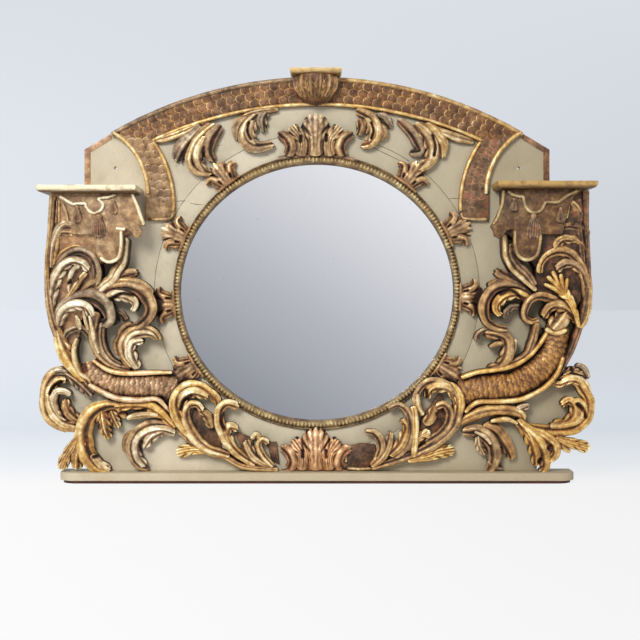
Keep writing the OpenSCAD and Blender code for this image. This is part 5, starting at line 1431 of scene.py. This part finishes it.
LOWER: dict[str, list[tuple]] = {
    "foot_scroll_left": [
        (LEAF, 90, 95, (36, 42, 44, 42), (8, 12, 13, 10), -390, 152, -425, 186, -460, 208, -500, 213, -545, 210),
        (TONGUE, 100, 40, (38, 42, 40), 9, -436, 186, -470, 188, -500, 184, -520, 178),
        (ROLL, 75, 80, (40, 46, 48, 46, 42, 36), (10, 17, 21, 23, 21, 16), -545, 212, -575, 212, -605, 200, -625, 180,
         -637, 150, -640, 120, -635, 90, -622, 65, -605, 45, -590, 38),
        (FRINGE, 60, 50, (40, 42, 40), (7, 9, 7), -540, 226, -590, 218, -622, 200, -645, 170),
        (TWIN, 60, 75, (40, 42, 36), 17, -590, 198, -585, 170, -580, 145, -575, 130),
        (TWIN, 55, 70, (38, 40, 36), (8, 12, 9), -566, 198, -556, 176, -548, 158),
        (TONGUE, 60, 70, (36, 38), 8, -547, 202, -536, 190, -525, 181),
        (FAN, 65, 40, (38, 40, 34), (10, 16, 16), -618, 78, -602, 56, -580, 38),
        (FAN, 70, 75, (44, 42, 38, 30), (8, 13, 17, 18), -645, 138, -672, 98, -692, 66, -700, 48),
        (LEAF, 65, 70, (42, 38, 32), (9, 14, 12), -642, 115, -656, 78, -660, 48)],
    "foot_scroll_right": [
        (STEM, 65, 80, 44, (10, 15, 16, 12), 390, 165, 430, 185, 470, 198, 520, 200, 555, 190, 565, 175),
        (TONGUE, 95, 80, (44, 46), 6, 476, 170, 520, 175, 548, 164),
        (LEAF, 50, 10, (40, 40), 10, 545, 197, 562, 206, 577, 211),
        (LEAF, 75, 95, (40, 44, 40, 34), 14, 548, 172, 575, 140, 592, 105, 600, 75, 602, 54),
        (LEAF, 80, 95, (42, 46, 42, 36), 15, 562, 160, 600, 120, 621, 85, 626, 50, 622, 36),
        (LEAF, 75, 90, (42, 46, 42), 14, 580, 148, 622, 126, 646, 105, 652, 82, 642, 66),
        (FAN, 80, 90, (42, 44, 40, 34), (8, 12, 17, 19), 655, 125, 690, 112, 715, 105, 737, 98),
        (TONGUE, 85, 70, (38, 38), 7, 672, 108, 680, 96, 694, 86)],
    "foot_leaf_left": [
        (ROLL, 40, 40, (30, 36, 40, 36, 26), 11, -385, 150, -420, 160, -455, 160, -485, 148, -505, 125, -512, 95,
         -505, 65, -490, 45, -470, 38),
        (LEAF, 80, 10, 40, (8, 12, 12, 9), -390, 135, -420, 145, -450, 143, -478, 130, -494, 105, -492, 75, -478, 52),
        (LEAF, 90, 10, (30, 36), 13, -425, 140, -455, 125, -472, 102),
        (FRINGE, 40, 50, (30, 30), 13, -508, 140, -524, 115, -528, 85)],
    "foot_leaf_right": [
        (LEAF, 45, 70, (30, 38, 36, 28), 17, 455, 155, 490, 140, 510, 115, 525, 92, 533, 74),
        (ROLL, 50, 50, (28, 38, 40, 36, 26), 18, 400, 140, 440, 140, 465, 125, 482, 100, 487, 75, 485, 55, 478, 38),
        (TONGUE, 95, 40, (42, 42), 5, 432, 141, 460, 128, 476, 108),
        (TWIN, 70, 40, (34, 32), (8, 12, 9), 443, 128, 447, 104, 457, 84),
        (ROLL, 30, 30, (26, 24), (7, 10, 8), 472, 62, 488, 50, 505, 42)],
    "base_leaves_left": [
        (STEM, 50, 60, 34, (7, 8, 8, 6), -400, 160, -370, 135, -340, 108, -300, 85, -250, 70, -200, 45, -110, 36),
        (ROLL, 85, 90, (34, 42, 48, 50, 46, 38), 14, -300, 88, -340, 125, -368, 160, -385, 195, -388, 225, -375, 250,
         -350, 266, -320, 265, -295, 250, -280, 228),
        (LEAF, 90, 60, 50, 13, -374, 205, -364, 235, -345, 247, -325, 246, -306, 238),
        (ROLL, 55, 70, (42, 44, 38), 10, -296, 256, -277, 234, -270, 212),
        (ROLL, 80, 60, 44, 13, -240, 75, -300, 95, -335, 125, -355, 160, -360, 190, -350, 212, -330, 215, -318, 203),
        (ROLL, 90, 60, (32, 42, 46, 44), (8, 12, 13, 10), -170, 50, -215, 80, -245, 115, -262, 150, -268, 180,
         -262, 205, -245, 217, -223, 212),
        (LEAF, 80, 70, 42, 13, -234, 100, -246, 130, -240, 152, -225, 150),
        (LEAF, 80, 50, 34, (8, 12, 9), -130, 48, -155, 62, -176, 80, -192, 108),
        (ROLL, 85, 60, (30, 36, 34), (6, 9, 7), -120, 45, -140, 65, -155, 88, -159, 106, -150, 118, -138, 112),
        (TONGUE, 80, 50, (34, 34), 7, -180, 121, -166, 132, -156, 112),
        (FAN, 100, 95, (34, 38, 36, 28), (8, 14, 19, 22), -300, 88, -330, 92, -355, 90, -372, 85),
        (LEAF, 60, 60, 34, 11, -290, 150, -302, 180, -318, 196)],
    "base_leaves_right": [
        (ROLL, 45, 50, (26, 36, 44, 48, 44, 36), 11, 150, 40, 220, 62, 280, 85, 330, 112, 370, 150, 385, 190, 382, 230,
         370, 255, 345, 273, 310, 279, 285, 262, 272, 235, 275, 210, 290, 190),
        (LEAF, 85, 100, 50, 11, 382, 175, 389, 215, 383, 250, 366, 270),
        (LEAF, 75, 75, 48, 13, 380, 230, 363, 257, 336, 263, 314, 257, 304, 240),
        (TONGUE, 90, 50, (42, 42), 6, 292, 188, 279, 213, 276, 244),
        (ROLL, 60, 50, (36, 42, 40), 13, 300, 110, 340, 135, 362, 165, 365, 195, 350, 214, 332, 211),
        (TONGUE, 70, 50, (38, 40), 6, 270, 75, 320, 100, 350, 130, 356, 152),
        (FAN, 85, 60, (34, 38, 36), (8, 13, 14), 245, 90, 265, 110, 285, 128, 302, 136),
        (STEM, 95, 80, (38, 44, 42), (7, 11, 9), 265, 72, 268, 120, 268, 160, 266, 195, 262, 208),
        (ROLL, 45, 40, 42, 10, 215, 70, 245, 100, 258, 140, 255, 180, 240, 205, 220, 213, 201, 205),
        (LEAF, 75, 80, (32, 40, 38), 13, 200, 75, 225, 100, 240, 130, 245, 155, 236, 168),
        (LEAF, 65, 50, 36, 10, 150, 45, 180, 75, 195, 105, 201, 134),
        (ROLL, 70, 50, (28, 36, 34), 11, 160, 58, 175, 90, 172, 116, 158, 135, 138, 140),
        (RIM, 70, 50, (20, 20), (4, 4), 80, 56, 80, 85, 93, 99),
        (RIM, 50, 40, (20, 20), (4, 4), 84, 38, 118, 36, 150, 38),
        (FAN, 85, 90, (32, 38, 36, 28), (6, 12, 18, 21), 250, 60, 300, 72, 335, 83, 363, 88),
        (LEAF, 60, 70, (34, 38, 34), 12, 296, 160, 312, 182, 322, 206)],
    "spray_outer_left": [
        (STEM, 80, 80, (18, 24, 24, 16), (9, 12, 12, 8), -325, 987, -370, 966, -410, 952, -448, 943),
        (LEAF, 55, 70, 24, 13, -298, 992, -330, 970, -355, 950, -378, 937),
        (LEAF, 40, 10, 28, (12, 20, 17), -318, 978, -345, 948, -367, 922, -380, 900),
        (ROLL, 75, 70, (20, 28, 32, 26), 15, -280, 985, -310, 960, -335, 925, -345, 885, -330, 862, -298, 852),
        (LEAF, 80, 60, 32, 13, -306, 952, -324, 910, -323, 880, -310, 856),
        (ROLL, 40, 60, 26, 18, -265, 985, -290, 950, -298, 915, -290, 893)],
    "spray_inner_left": [
        (STEM, 60, 70, (18, 22, 16), 9, -108, 1028, -150, 1023, -190, 1013, -218, 1000),
        (LEAF, 50, 60, 24, 15, -192, 1006, -213, 980, -219, 952),
        (ROLL, 65, 60, (22, 28, 30, 24), 17, -168, 1012, -190, 985, -197, 955, -185, 932, -160, 925, -128, 930),
        (LEAF, 80, 50, 30, 13, -174, 996, -183, 962, -172, 938),
        (LEAF, 50, 20, 24, 13, -138, 1022, -150, 1000, -148, 973)],
    "spray_inner_right": [
        (ROLL, 65, 70, (22, 28, 30, 24), 15, 108, 1026, 140, 1010, 158, 985, 160, 955, 146, 934, 128, 928),
        (LEAF, 80, 60, 30, (8, 12, 9), 133, 1002, 148, 975, 145, 948),
        (LEAF, 40, 60, 24, 14, 117, 1002, 122, 982, 117, 964),
        (LEAF, 50, 20, 22, 14, 162, 1011, 184, 1000, 198, 984),
        (LEAF, 45, 60, 24, 13, 168, 988, 178, 965, 169, 946)],
    "spray_outer_right": [
        (ROLL, 45, 30, 24, 14, 223, 1000, 255, 970, 277, 937, 285, 913, 262, 908),
        (LEAF, 80, 70, (22, 30, 32, 26), 17, 268, 988, 300, 955, 313, 920, 309, 890, 288, 868),
        (ROLL, 40, 60, 26, 13, 326, 942, 321, 900, 298, 866),
        (LEAF, 90, 90, 28, 16, 298, 988, 325, 955, 341, 930, 344, 904),
        (STEM, 75, 70, (18, 24, 24, 16), (9, 12, 12, 8), 318, 978, 370, 957, 430, 940)],
    "top_palmette": [
        (FAN, 15, 30, (16, 22, 18), (68, 68, 72), -4, 897, -4, 930, -4, 958),
        (FAN, 35, 35, (24, 31, 38, 33), (30, 23, 31, 42), -4, 898, -4, 930, -4, 960, -4, 985),
        (FAN, 25, 30, (24, 34, 36, 30), (19, 16, 18, 23), -48, 899, -42, 925, -47, 948, -62, 968),
        (FAN, 35, 40, (24, 34, 36, 30), (19, 16, 18, 23), 40, 899, 34, 925, 39, 948, 54, 968),
        (ROLL, 30, 30, (22, 32, 33, 27), (13, 14, 14, 12), -82, 899, -74, 922, -82, 944, -98, 958),
        (ROLL, 35, 40, (22, 32, 33, 27), (13, 14, 14, 12), 74, 899, 66, 922, 74, 944, 90, 958),
        (RIM, 30, 10, 16, (6, 7, 6), -108, 893, -50, 900, 0, 902, 50, 900, 102, 890)],
}

# Each row is one slot, darkened as painted shade: the values that gouge() takes.
SLOTS: list[tuple[float, ...]] = [
    (9, 16, -641, 388, -645, 350, -638, 310), (4, 9, -704, 770, -707, 715), (4, 12, -733, 246, -723, 265, -702, 277),
    (5, 10, -612, 72, -594, 76), (5, 12, -482, 112, -485, 92, -470, 72), (5, 12, -374, 203, -366, 226, -345, 238),
    (5, 12, -254, 192, -262, 170, -253, 148), (4, 9, -311, 922, -315, 888), (6, 14, 611, 58, 614, 64),
    (6, 14, 636, 96, 641, 101), (5, 12, 714, 216, 731, 201, 735, 183), (5, 10, 695, 332, 700, 308),
    (6, 12, 452, 398, 458, 402), (7, 14, 583, 462, 588, 468), (5, 9, 692, 708, 699, 736), (5, 10, -45, 938, -44, 952),
    (5, 10, 25, 942, 26, 956), (5, 12, -690, 545, -668, 552, -650, 560), (5, 12, -560, 505, -530, 520, -500, 516),
    (5, 12, -345, 200, -338, 170, -318, 140), (5, 12, 330, 190, 342, 165, 325, 145),
    (5, 12, 300, 255, 302, 228, 296, 204), (5, 12, 560, 505, 530, 528, 500, 520),
    (5, 10, 695, 560, 708, 520, 708, 480), (6, 12, -600, 160, -606, 130, -598, 100),
    (4, 10, -470, 200, -510, 197, -540, 192), (4, 10, 150, 990, 156, 968, 150, 948),
    (4, 10, -188, 990, -191, 965, -182, 945), (4, 10, 318, 955, 326, 925, 322, 900)]


@dataclass
class Carving:
    """All the applied acanthus and scroll carving on the panel."""

    ground: float = 12.0
    shade_floors: Runs = field(default_factory=lambda: {
        "left": [(-352, 150, -340, 205, -278, 170, -262, 90, -310, 105), (-228, 140, -178, 120, -170, 62, -205, 78),
            (-140, 110, -112, 110, -104, 48, -126, 60)],
        "right": [(84, 40, 84, 98, 120, 107, 160, 104, 165, 65, 140, 38), (290, 180, 340, 245, 370, 200, 350, 140,
            262, 84, 275, 130)]})
    clasp_angles: dict[str, tuple[float, ...]] = field(default_factory=lambda: {
        "left": (128, 157, 185, 212), "right": (52, 25, -2, -32)})
    pieces: dict[str, list[Stroke]] = field(default_factory=lambda: {
        name: [lay(*row) for row in rows] for name, rows in (CONSOLES | LOWER).items()})
    slots: list[Gouge] = field(default_factory=lambda: [gouge(*row) for row in SLOTS])

    def __post_init__(self) -> None:
        """Draw the bottom palmette after the top one, and a clasp at each of its places."""
        self.pieces["bottom_palmette"] = [
            Stroke(s.carve, s.tone, s.gold, s.relief, s.width, [(x * 0.93, (z - 895) + 30) for x, z in s.points])
            for s in self.pieces["top_palmette"]]
        self.slots += [gouge(5, 10, x, 72, x, 88) for x in (-39, 25)]
        for side, angles in self.clasp_angles.items():
            self.pieces[f"ring_clasps_{side}"] = [part for angle in angles for part in self._clasp(angle)]

    def _clasp(self, angle: float) -> list[Stroke]:
        """List the roll, the fluted crown and the two side scrolls of one clasp on the moulding."""
        wide, high = RING
        x, z = wide * math.cos(math.radians(angle)), OVAL_HEIGHT + high * math.sin(math.radians(angle))
        turn = math.atan2((z - OVAL_HEIGHT) / high**2, x / wide**2)
        c, s = math.cos(turn), math.sin(turn)

        def set_down(*line: float) -> list[float]:
            """Carry points drawn outwards and along the ring to their place."""
            return [p for u, v in zip(line[::2], line[1::2]) for p in (x + u * c - v * s, z + u * s + v * c)]

        parts = [lay(RIM, 50, 60, 23, 6, *set_down(-3, -38, 0, 0, -3, 38)),
                 lay(FAN, 75, 40, (21, 28, 24), (26, 33, 35), *set_down(-2, 0, 20, 0, 42, 0))]
        for side in (-1, 1):
            line = set_down(2, 20 * side, 16, 25 * side, 32, 34 * side, 33, 43 * side)
            parts.append(lay(ROLL, 75, 50, (22, 27, 22), (9, 12, 9), *line))
        self.slots += [gouge(3, 9, *set_down(9, v, 17, v * 1.1)) for v in (-17, 17)]
        return parts

    def deliver(self, paints: Paints, bench: Bench) -> None:
        """Make every piece and the dark plates under the base leaves, which are painted shade between them."""
        finishes = {"scaled_horn_left": HORN, "scaled_horn_right": HORN_RIGHT, "bottom_palmette": RED_GOLD,
                    "ring_clasps_left": CLASP, "ring_clasps_right": CLASP, "cheek_left": CHEEK, "cheek_right": SHADED,
                    "console_leaves_right": RIGHT_SHADE_GILT, "branch_leaf_right": RIGHT_SHADE_GILT, "c_scroll_right": RIGHT_SHADE_GILT}
        finishes |= {name: GREYED_GILT for name in self.pieces if name.startswith("spray")}
        for name in self.pieces:
            slot = "bole_gilt_wood" if "horn" in name or name.startswith("bottom") else "gilt_wood"
            bench.deliver(name + "_carved", paints.of(finishes.get(name, GILT)), slot, [name])
        # Dark plates under the base leaves: painted shade.
        for side, loops in self.shade_floors.items():
            for i, loop in enumerate(loops):
                outline = anticlockwise(pairs(*loop))
                plate = board(f"base_ground_{side}_{i + 1}", outline, PANEL_FACE - self.ground, PANEL_FACE + LET_IN, 3)
                finish_piece(plate, paints.of(GROUND_SHADE))


@dataclass
class Consoles:
    """The lambrequins of the two side consoles, each with its rims, cord and tassels."""

    face: float = PANEL_FACE - 84
    thickness: float = 14.0
    seat: float = 97.0
    aprons: dict[str, tuple[float, ...]] = field(default_factory=lambda: {
        "left": (-716, 791, -700, 780, -680, 760, -668, 735, -662, 715, -664, 700, -662, 681, -640, 679, -598, 680,
            -597, 638, -592, 620, -580, 606, -560, 601, -541, 606, -528, 620, -523, 638, -523, 686, -516, 696,
            -501, 686, -489, 670, -478, 673, -471, 686, -477, 702, -462, 704, -475, 735, -488, 765, -498, 791),
        "right": (720, 802, 696, 786, 680, 755, 672, 720, 662, 680, 608, 680, 604, 645, 599, 628, 586, 614, 567, 608,
            548, 614, 535, 628, 530, 645, 529, 694, 511, 690, 505, 676, 491, 668, 478, 675, 475, 690, 468, 700,
            475, 714, 484, 730, 495, 760, 500, 802)})
    rims: Runs = field(default_factory=lambda: {
        "left": [(-498, 787, -486, 760, -473, 724, -466, 706), (-516, 694, -528, 694, -540, 696), (-528, 688,
            -528, 650, -534, 620, -548, 608, -566, 606, -582, 616)],
        "right": [(503, 798, 500, 765, 488, 728, 476, 708), (534, 690, 534, 655, 541, 626, 556, 613, 576, 613,
            593, 626, 600, 650, 603, 677)]})
    cords: Runs = field(default_factory=lambda: {
        "left": [(-692, 782, -672, 769, -655, 760), (-656, 761, -640, 762, -624, 763), (-624, 764, -621, 753,
            -612, 742, -598, 737, -583, 744, -576, 760, -589, 775), (-590, 774, -575, 778, -560, 780, -543, 786)],
        "right": [(514, 796, 532, 784, 556, 780), (556, 781, 561, 756, 580, 738, 602, 744, 616, 767), (615, 767,
            632, 766, 650, 766), (649, 765, 672, 782, 700, 797)]})
    tassels: Runs = field(default_factory=lambda: {
        "left": [(-645, 757, 718, 12), (-587, 734, 683, 19), (-547, 772, 742, 12)],
        "right": [(530, 777, 748, 11), (584, 736, 683, 20), (655, 752, 718, 12)]})

    def build(self, paints: Paints, bench: Bench) -> None:
        """Make the lambrequin boards and carve their trim."""
        for side, outline in self.aprons.items():
            ground = board(f"lambrequin_board_{side}", anticlockwise(pairs(*outline)), self.face - self.thickness,
                           self.face + LET_IN, 2.5)
            finish_piece(ground, paints.of(APRON_LEFT if side == "left" else APRON_RIGHT),
                         [f"lambrequin_{side}"])
            bench.carve(f"lambrequin_rims_{side}", [self._trim(RIM, 0.4, 0.1, (103, 103), (4, 5, 4), *line)
                                                    for line in self.rims[side]])
            bench.carve(f"cord_{side}", [self._trim(RIM, 0.4, 0.0, (106, 106), (4.4, 4.4), *line)
                                         for line in self.cords[side]])
            tassels = [self._tassel(*tassel) for tassel in self.tassels[side]]
            bench.carve(f"tassel_set_{side}", [part for parts in tassels for part in parts])

    def _trim(self, carve: Carve, tone: float, gold: float, relief: tuple, width: tuple, *run: float) -> Stroke:
        """List one stroke that sits on the lambrequin's face."""
        return Stroke(carve, tone, gold, relief, width, pairs(*run), seat=self.seat)

    def _tassel(self, x: float, top: float, foot: float, w: float) -> list[Stroke]:
        """List a tassel's skirt and the knot on it, from its place across, top, foot and half width."""
        drop = top - foot
        skirt = (x, top - 0.18 * drop, x, top - 0.55 * drop, x, foot + 1)
        knot = (x, top, x, top - 0.12 * drop, x, top - 0.24 * drop)
        return [self._trim(TASSEL, -0.2, -0.2, (107, 112, 110), (0.45 * w, 0.85 * w, 1.1 * w), *skirt),
                self._trim(RIM, 0.1, 0.0, (110, 113, 110), (0.3 * w, 0.5 * w, 0.42 * w), *knot)]

    def deliver(self, paints: Paints, bench: Bench) -> None:
        """Make the carved trim."""
        for side in ("left", "right"):
            trim = paints.of(TRIM if side == "left" else OLIVE_TRIM)
            bench.deliver(f"lambrequin_rims_{side}", trim, "bole_gilt_wood")
            bench.deliver(f"cord_{side}", trim, "gilt_wood", [f"lambrequin_cord_{side}"])
            bench.deliver(f"tassel_set_{side}", paints.of(TASSEL_GREY), "gilt_wood", [f"tassels_{side}"])


@dataclass
class TopConsole:
    """The petals carved on the cup under the small top shelf."""

    x: float = -3.0
    radius: float = 58.0
    foot: float = 1038.0
    back: float = 26.0

    def _on_cup(self, x: np.ndarray, z: np.ndarray, relief: np.ndarray) -> np.ndarray:
        """Wrap drawing coordinates, measured from the cup's middle, round the bowl."""
        up = np.clip(z - self.foot, 0.5, 80)
        bowl = np.sqrt(np.maximum(self.radius**2 - (self.radius - np.minimum(up, self.radius)) ** 2, 1))
        turn = np.clip((x - self.x) / self.radius, -math.pi / 2, math.pi / 2)
        out = np.minimum(bowl, self.radius - 2) + relief
        return np.stack([self.x + out * np.sin(turn), self.back - out * np.cos(turn), z], axis=-1) / 1000.0

    def build(self, bench: Bench) -> None:
        """Carve six petals round the bowl and a smaller one between each two."""
        petals = []
        for carve, tone, gold, relief, width, places, rows in (
                (TWIN, -0.05, 0.2, (3, 8, 8, 6), (9, 14, 11, 6), range(-66, 65, 26),
                 ((1, 1116), (0.97, 1096), (0.9, 1076), (0.85, 1062))),
                (TONGUE, 0.05, 0.1, (2, 4, 3), (4, 6, 4), range(-53, 52, 26),
                 ((1, 1092), (0.95, 1076), (0.85, 1056)))):
            for x in places:
                line = [(self.x + x * share, z) for share, z in rows]
                petals.append(Stroke(carve, tone, gold, relief, width, line, seat=-2, place=self._on_cup))
        bench.carve("cup_petals", petals)

    def deliver(self, paints: Paints, bench: Bench) -> None:
        """Make the petals; the bowl under them is the CAD part."""
        bench.deliver("cup_petals", paints.of(GILT), "gilt_wood")


# Studio


@dataclass(frozen=True)
class Studio:
    """A pale floor, soft light, what the glass reflects, and the camera at the photograph's place."""

    lens: float = 73.1
    shift: float = -0.039
    eye: tuple[float, float, float] = (0.0083, -3.554, 0.516)
    horizon: str = "#E2E6EE"
    floor_front: float = -1.72
    floor_reach: float = 40.0

    def camera(self) -> None:
        """Set the camera level, in front of the mirror."""
        data = bpy.data.cameras.new("Camera")
        data.lens, data.sensor_width, data.shift_y = self.lens, 36.0, self.shift
        camera = put_in_scene("Camera", data)
        camera.location, camera.rotation_euler = self.eye, (math.pi / 2, 0, 0)
        bpy.context.scene.camera = camera

    def _plane(self, name: str, corners: Drawn, material: bpy.types.Material) -> bpy.types.Object:
        """Make one flat staged surface."""
        mesh = bpy.data.meshes.new(name)
        mesh.from_pydata(corners, [], [tuple(range(len(corners)))])
        mesh.materials.append(material)
        piece = put_in_scene(name, mesh)
        return piece

    def floor(self) -> None:
        """Lay a pale floor that runs back until it meets the background's colour."""
        material, tree, place = new_material("White floor")
        across, deep = (axis(tree, place, name) for name in "XY")
        colour = add_node(tree, "ValToRGB", {0: calc(tree, "DIVIDE", deep, 8.0)}, stops=[
            (0.0, "#FFFFFF"), (0.06, "#F2F6FB"), (0.18, "#E1E8F0"), (1.0, self.horizon)])
        colour = scaled(tree, colour, spread(tree, across, -2.2, 2.2, 1.03, 0.86))
        seen = [add_node(tree, "LightPath", out=f"Is {kind} Ray") for kind in ("Camera", "Glossy")]
        seen = calc(tree, "MAXIMUM", *seen)
        seen = calc(tree, "MULTIPLY", seen, spread(tree, deep, 0.3, 2.5, 0.9, 1.0))
        matt = add_node(tree, "BsdfPrincipled", {"Base Color": colour, "Roughness": 0.9})
        glow = add_node(tree, "Emission", {0: colour})
        add_node(tree, "OutputMaterial", {0: add_node(tree, "MixShader", {0: seen, 1: matt, 2: glow})})
        front, far = self.floor_front, self.floor_reach
        self._plane("floor", [(-far, front, 0), (far, front, 0), (far, far, 0), (-far, far, 0)], material)

    def room_card(self) -> None:
        """Stand a shaded card behind the camera, which only the glass and the gilding reflect."""
        material, tree, place = new_material("Room seen in the glass")
        across, up = (axis(tree, place, name) for name in "XZ")
        shade = calc(tree, "MULTIPLY_ADD", across, 0.2, calc(tree, "MULTIPLY_ADD", up, 0.31, 0.38))
        colour = add_node(tree, "ValToRGB", {0: shade}, stops=[(0.0, "#73767E"), (0.5, "#B9BBC1"), (1.0, "#F4F4F6")])
        add_node(tree, "OutputMaterial", {0: add_node(tree, "Emission", {0: colour, "Strength": 1.08})})
        card = self._plane("room_card", [(-2.6, -6, -1.5), (2.6, -6, -1.5), (2.6, -6, 3.2), (-2.6, -6, 3.2)], material)
        card.visible_camera = card.visible_diffuse = card.visible_shadow = False

    def world(self) -> None:
        """Fill the room with plain light and show a pale background."""
        world = bpy.data.worlds.new("Pale studio")
        world.use_nodes = True
        tree = world.node_tree
        tree.nodes.clear()
        way = add_node(tree, "TexCoord", out="Generated")
        across, rise = (axis(tree, way, name) for name in "XZ")
        colour = add_node(tree, "ValToRGB", {0: spread(tree, rise, 0.0, 0.25)}, stops=[
            (0.0, self.horizon), (0.5, "#E0E4EB"), (1.0, "#DADFE4")])
        side = spread(tree, across, -0.24, 0.24, 1.02, 0.8)
        side = add_node(tree, "Mix", {"Factor": spread(tree, rise, 0.02, 0.24), "A": side, "B": 1.0}, "Result")
        colour = scaled(tree, colour, side)
        seen = [add_node(tree, "LightPath", out=f"Is {kind} Ray") for kind in ("Camera", "Glossy", "Transmission")]
        seen = calc(tree, "MAXIMUM", seen[0], calc(tree, "MAXIMUM", seen[1], seen[2]))
        shown = add_node(tree, "Background", {0: colour, "Strength": 1.0})
        light = add_node(tree, "Background", {0: linear("#F4F6FA"), "Strength": 0.42})
        add_node(tree, "OutputWorld", {0: add_node(tree, "MixShader", {0: seen, 1: light, 2: shown})})
        bpy.context.scene.world = world

    def lamps(self) -> None:
        """Hang a large soft lamp high on the left and a weak one on the right."""
        for name, spot, aim, size, power in (
                ("Key", (-2.0, -5.4, 3.4), (0.0, 0.0, 0.55), 2.3, 290.0),
                ("Fill", (2.6, -2.6, 1.2), (0.0, 0.0, 0.5), 1.8, 9.0)):
            data = bpy.data.lights.new(name, "AREA")
            data.shape, data.size, data.energy = "DISK", size, power
            lamp = put_in_scene(name, data)
            lamp.location = spot
            way = [a - b for a, b in zip(aim, spot)]
            lamp.rotation_euler = (math.atan2(math.hypot(way[0], way[1]), -way[2]), 0,
                                   math.atan2(way[1], way[0]) - math.pi / 2)

    def build(self) -> None:
        """Set up the whole studio."""
        self.camera()
        self.floor()
        self.room_card()
        self.world()
        self.lamps()
        bpy.context.scene.view_settings.view_transform = "Standard"


def dress_cad(paints: Paints) -> None:
    """Give a finish to the CAD parts that stay in the scene."""
    finishes = {
        "base_underlay": UNDERLAY, "batten_top": PINE, "batten_bottom": PINE, "batten_left": UPRIGHT,
        "batten_right": UPRIGHT, "mirror_backboard": THIN_PINE, "glazing_blocks": PINE, "mirror_glass": GLASS,
        "console_block_left": EDGE_GILT, "console_block_right": SHADED, "shelf_left": LEFT_SHELF,
        "shelf_right": RIGHT_SHELF, "top_console_shelf": TOP_SHELF, "top_console_cup": BAND_GROUND,
    }
    for node, finish in finishes.items():
        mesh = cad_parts[node].data
        mesh.materials.clear()
        mesh.materials.append(paints.of(finish))


def main() -> None:
    """Build the studio and the mirror in order."""
    logging.basicConfig(level=logging.INFO, format="%(message)s")
    paints, bench = Paints(), Bench()
    panel, band, consoles, top, carving = Panel(), ArchBand(), Consoles(), TopConsole(), Carving()
    Studio().build()
    panel.build(paints, bench)
    SightMoulding().build(paints)
    band.build(paints, bench)
    consoles.build(paints, bench)
    top.build(bench)
    for name, strokes in carving.pieces.items():
        bench.carve(name + "_carved", strokes)
    bench.mark_highlight_and_shade(carving.slots)
    bench.deliver("panel_cracks", paints.of(CRACK_DIRT), "painted_wood")
    for assembly in (band, consoles, top, carving):
        assembly.deliver(paints, bench)
    dress_cad(paints)


if __name__ == "__main__":
    main()
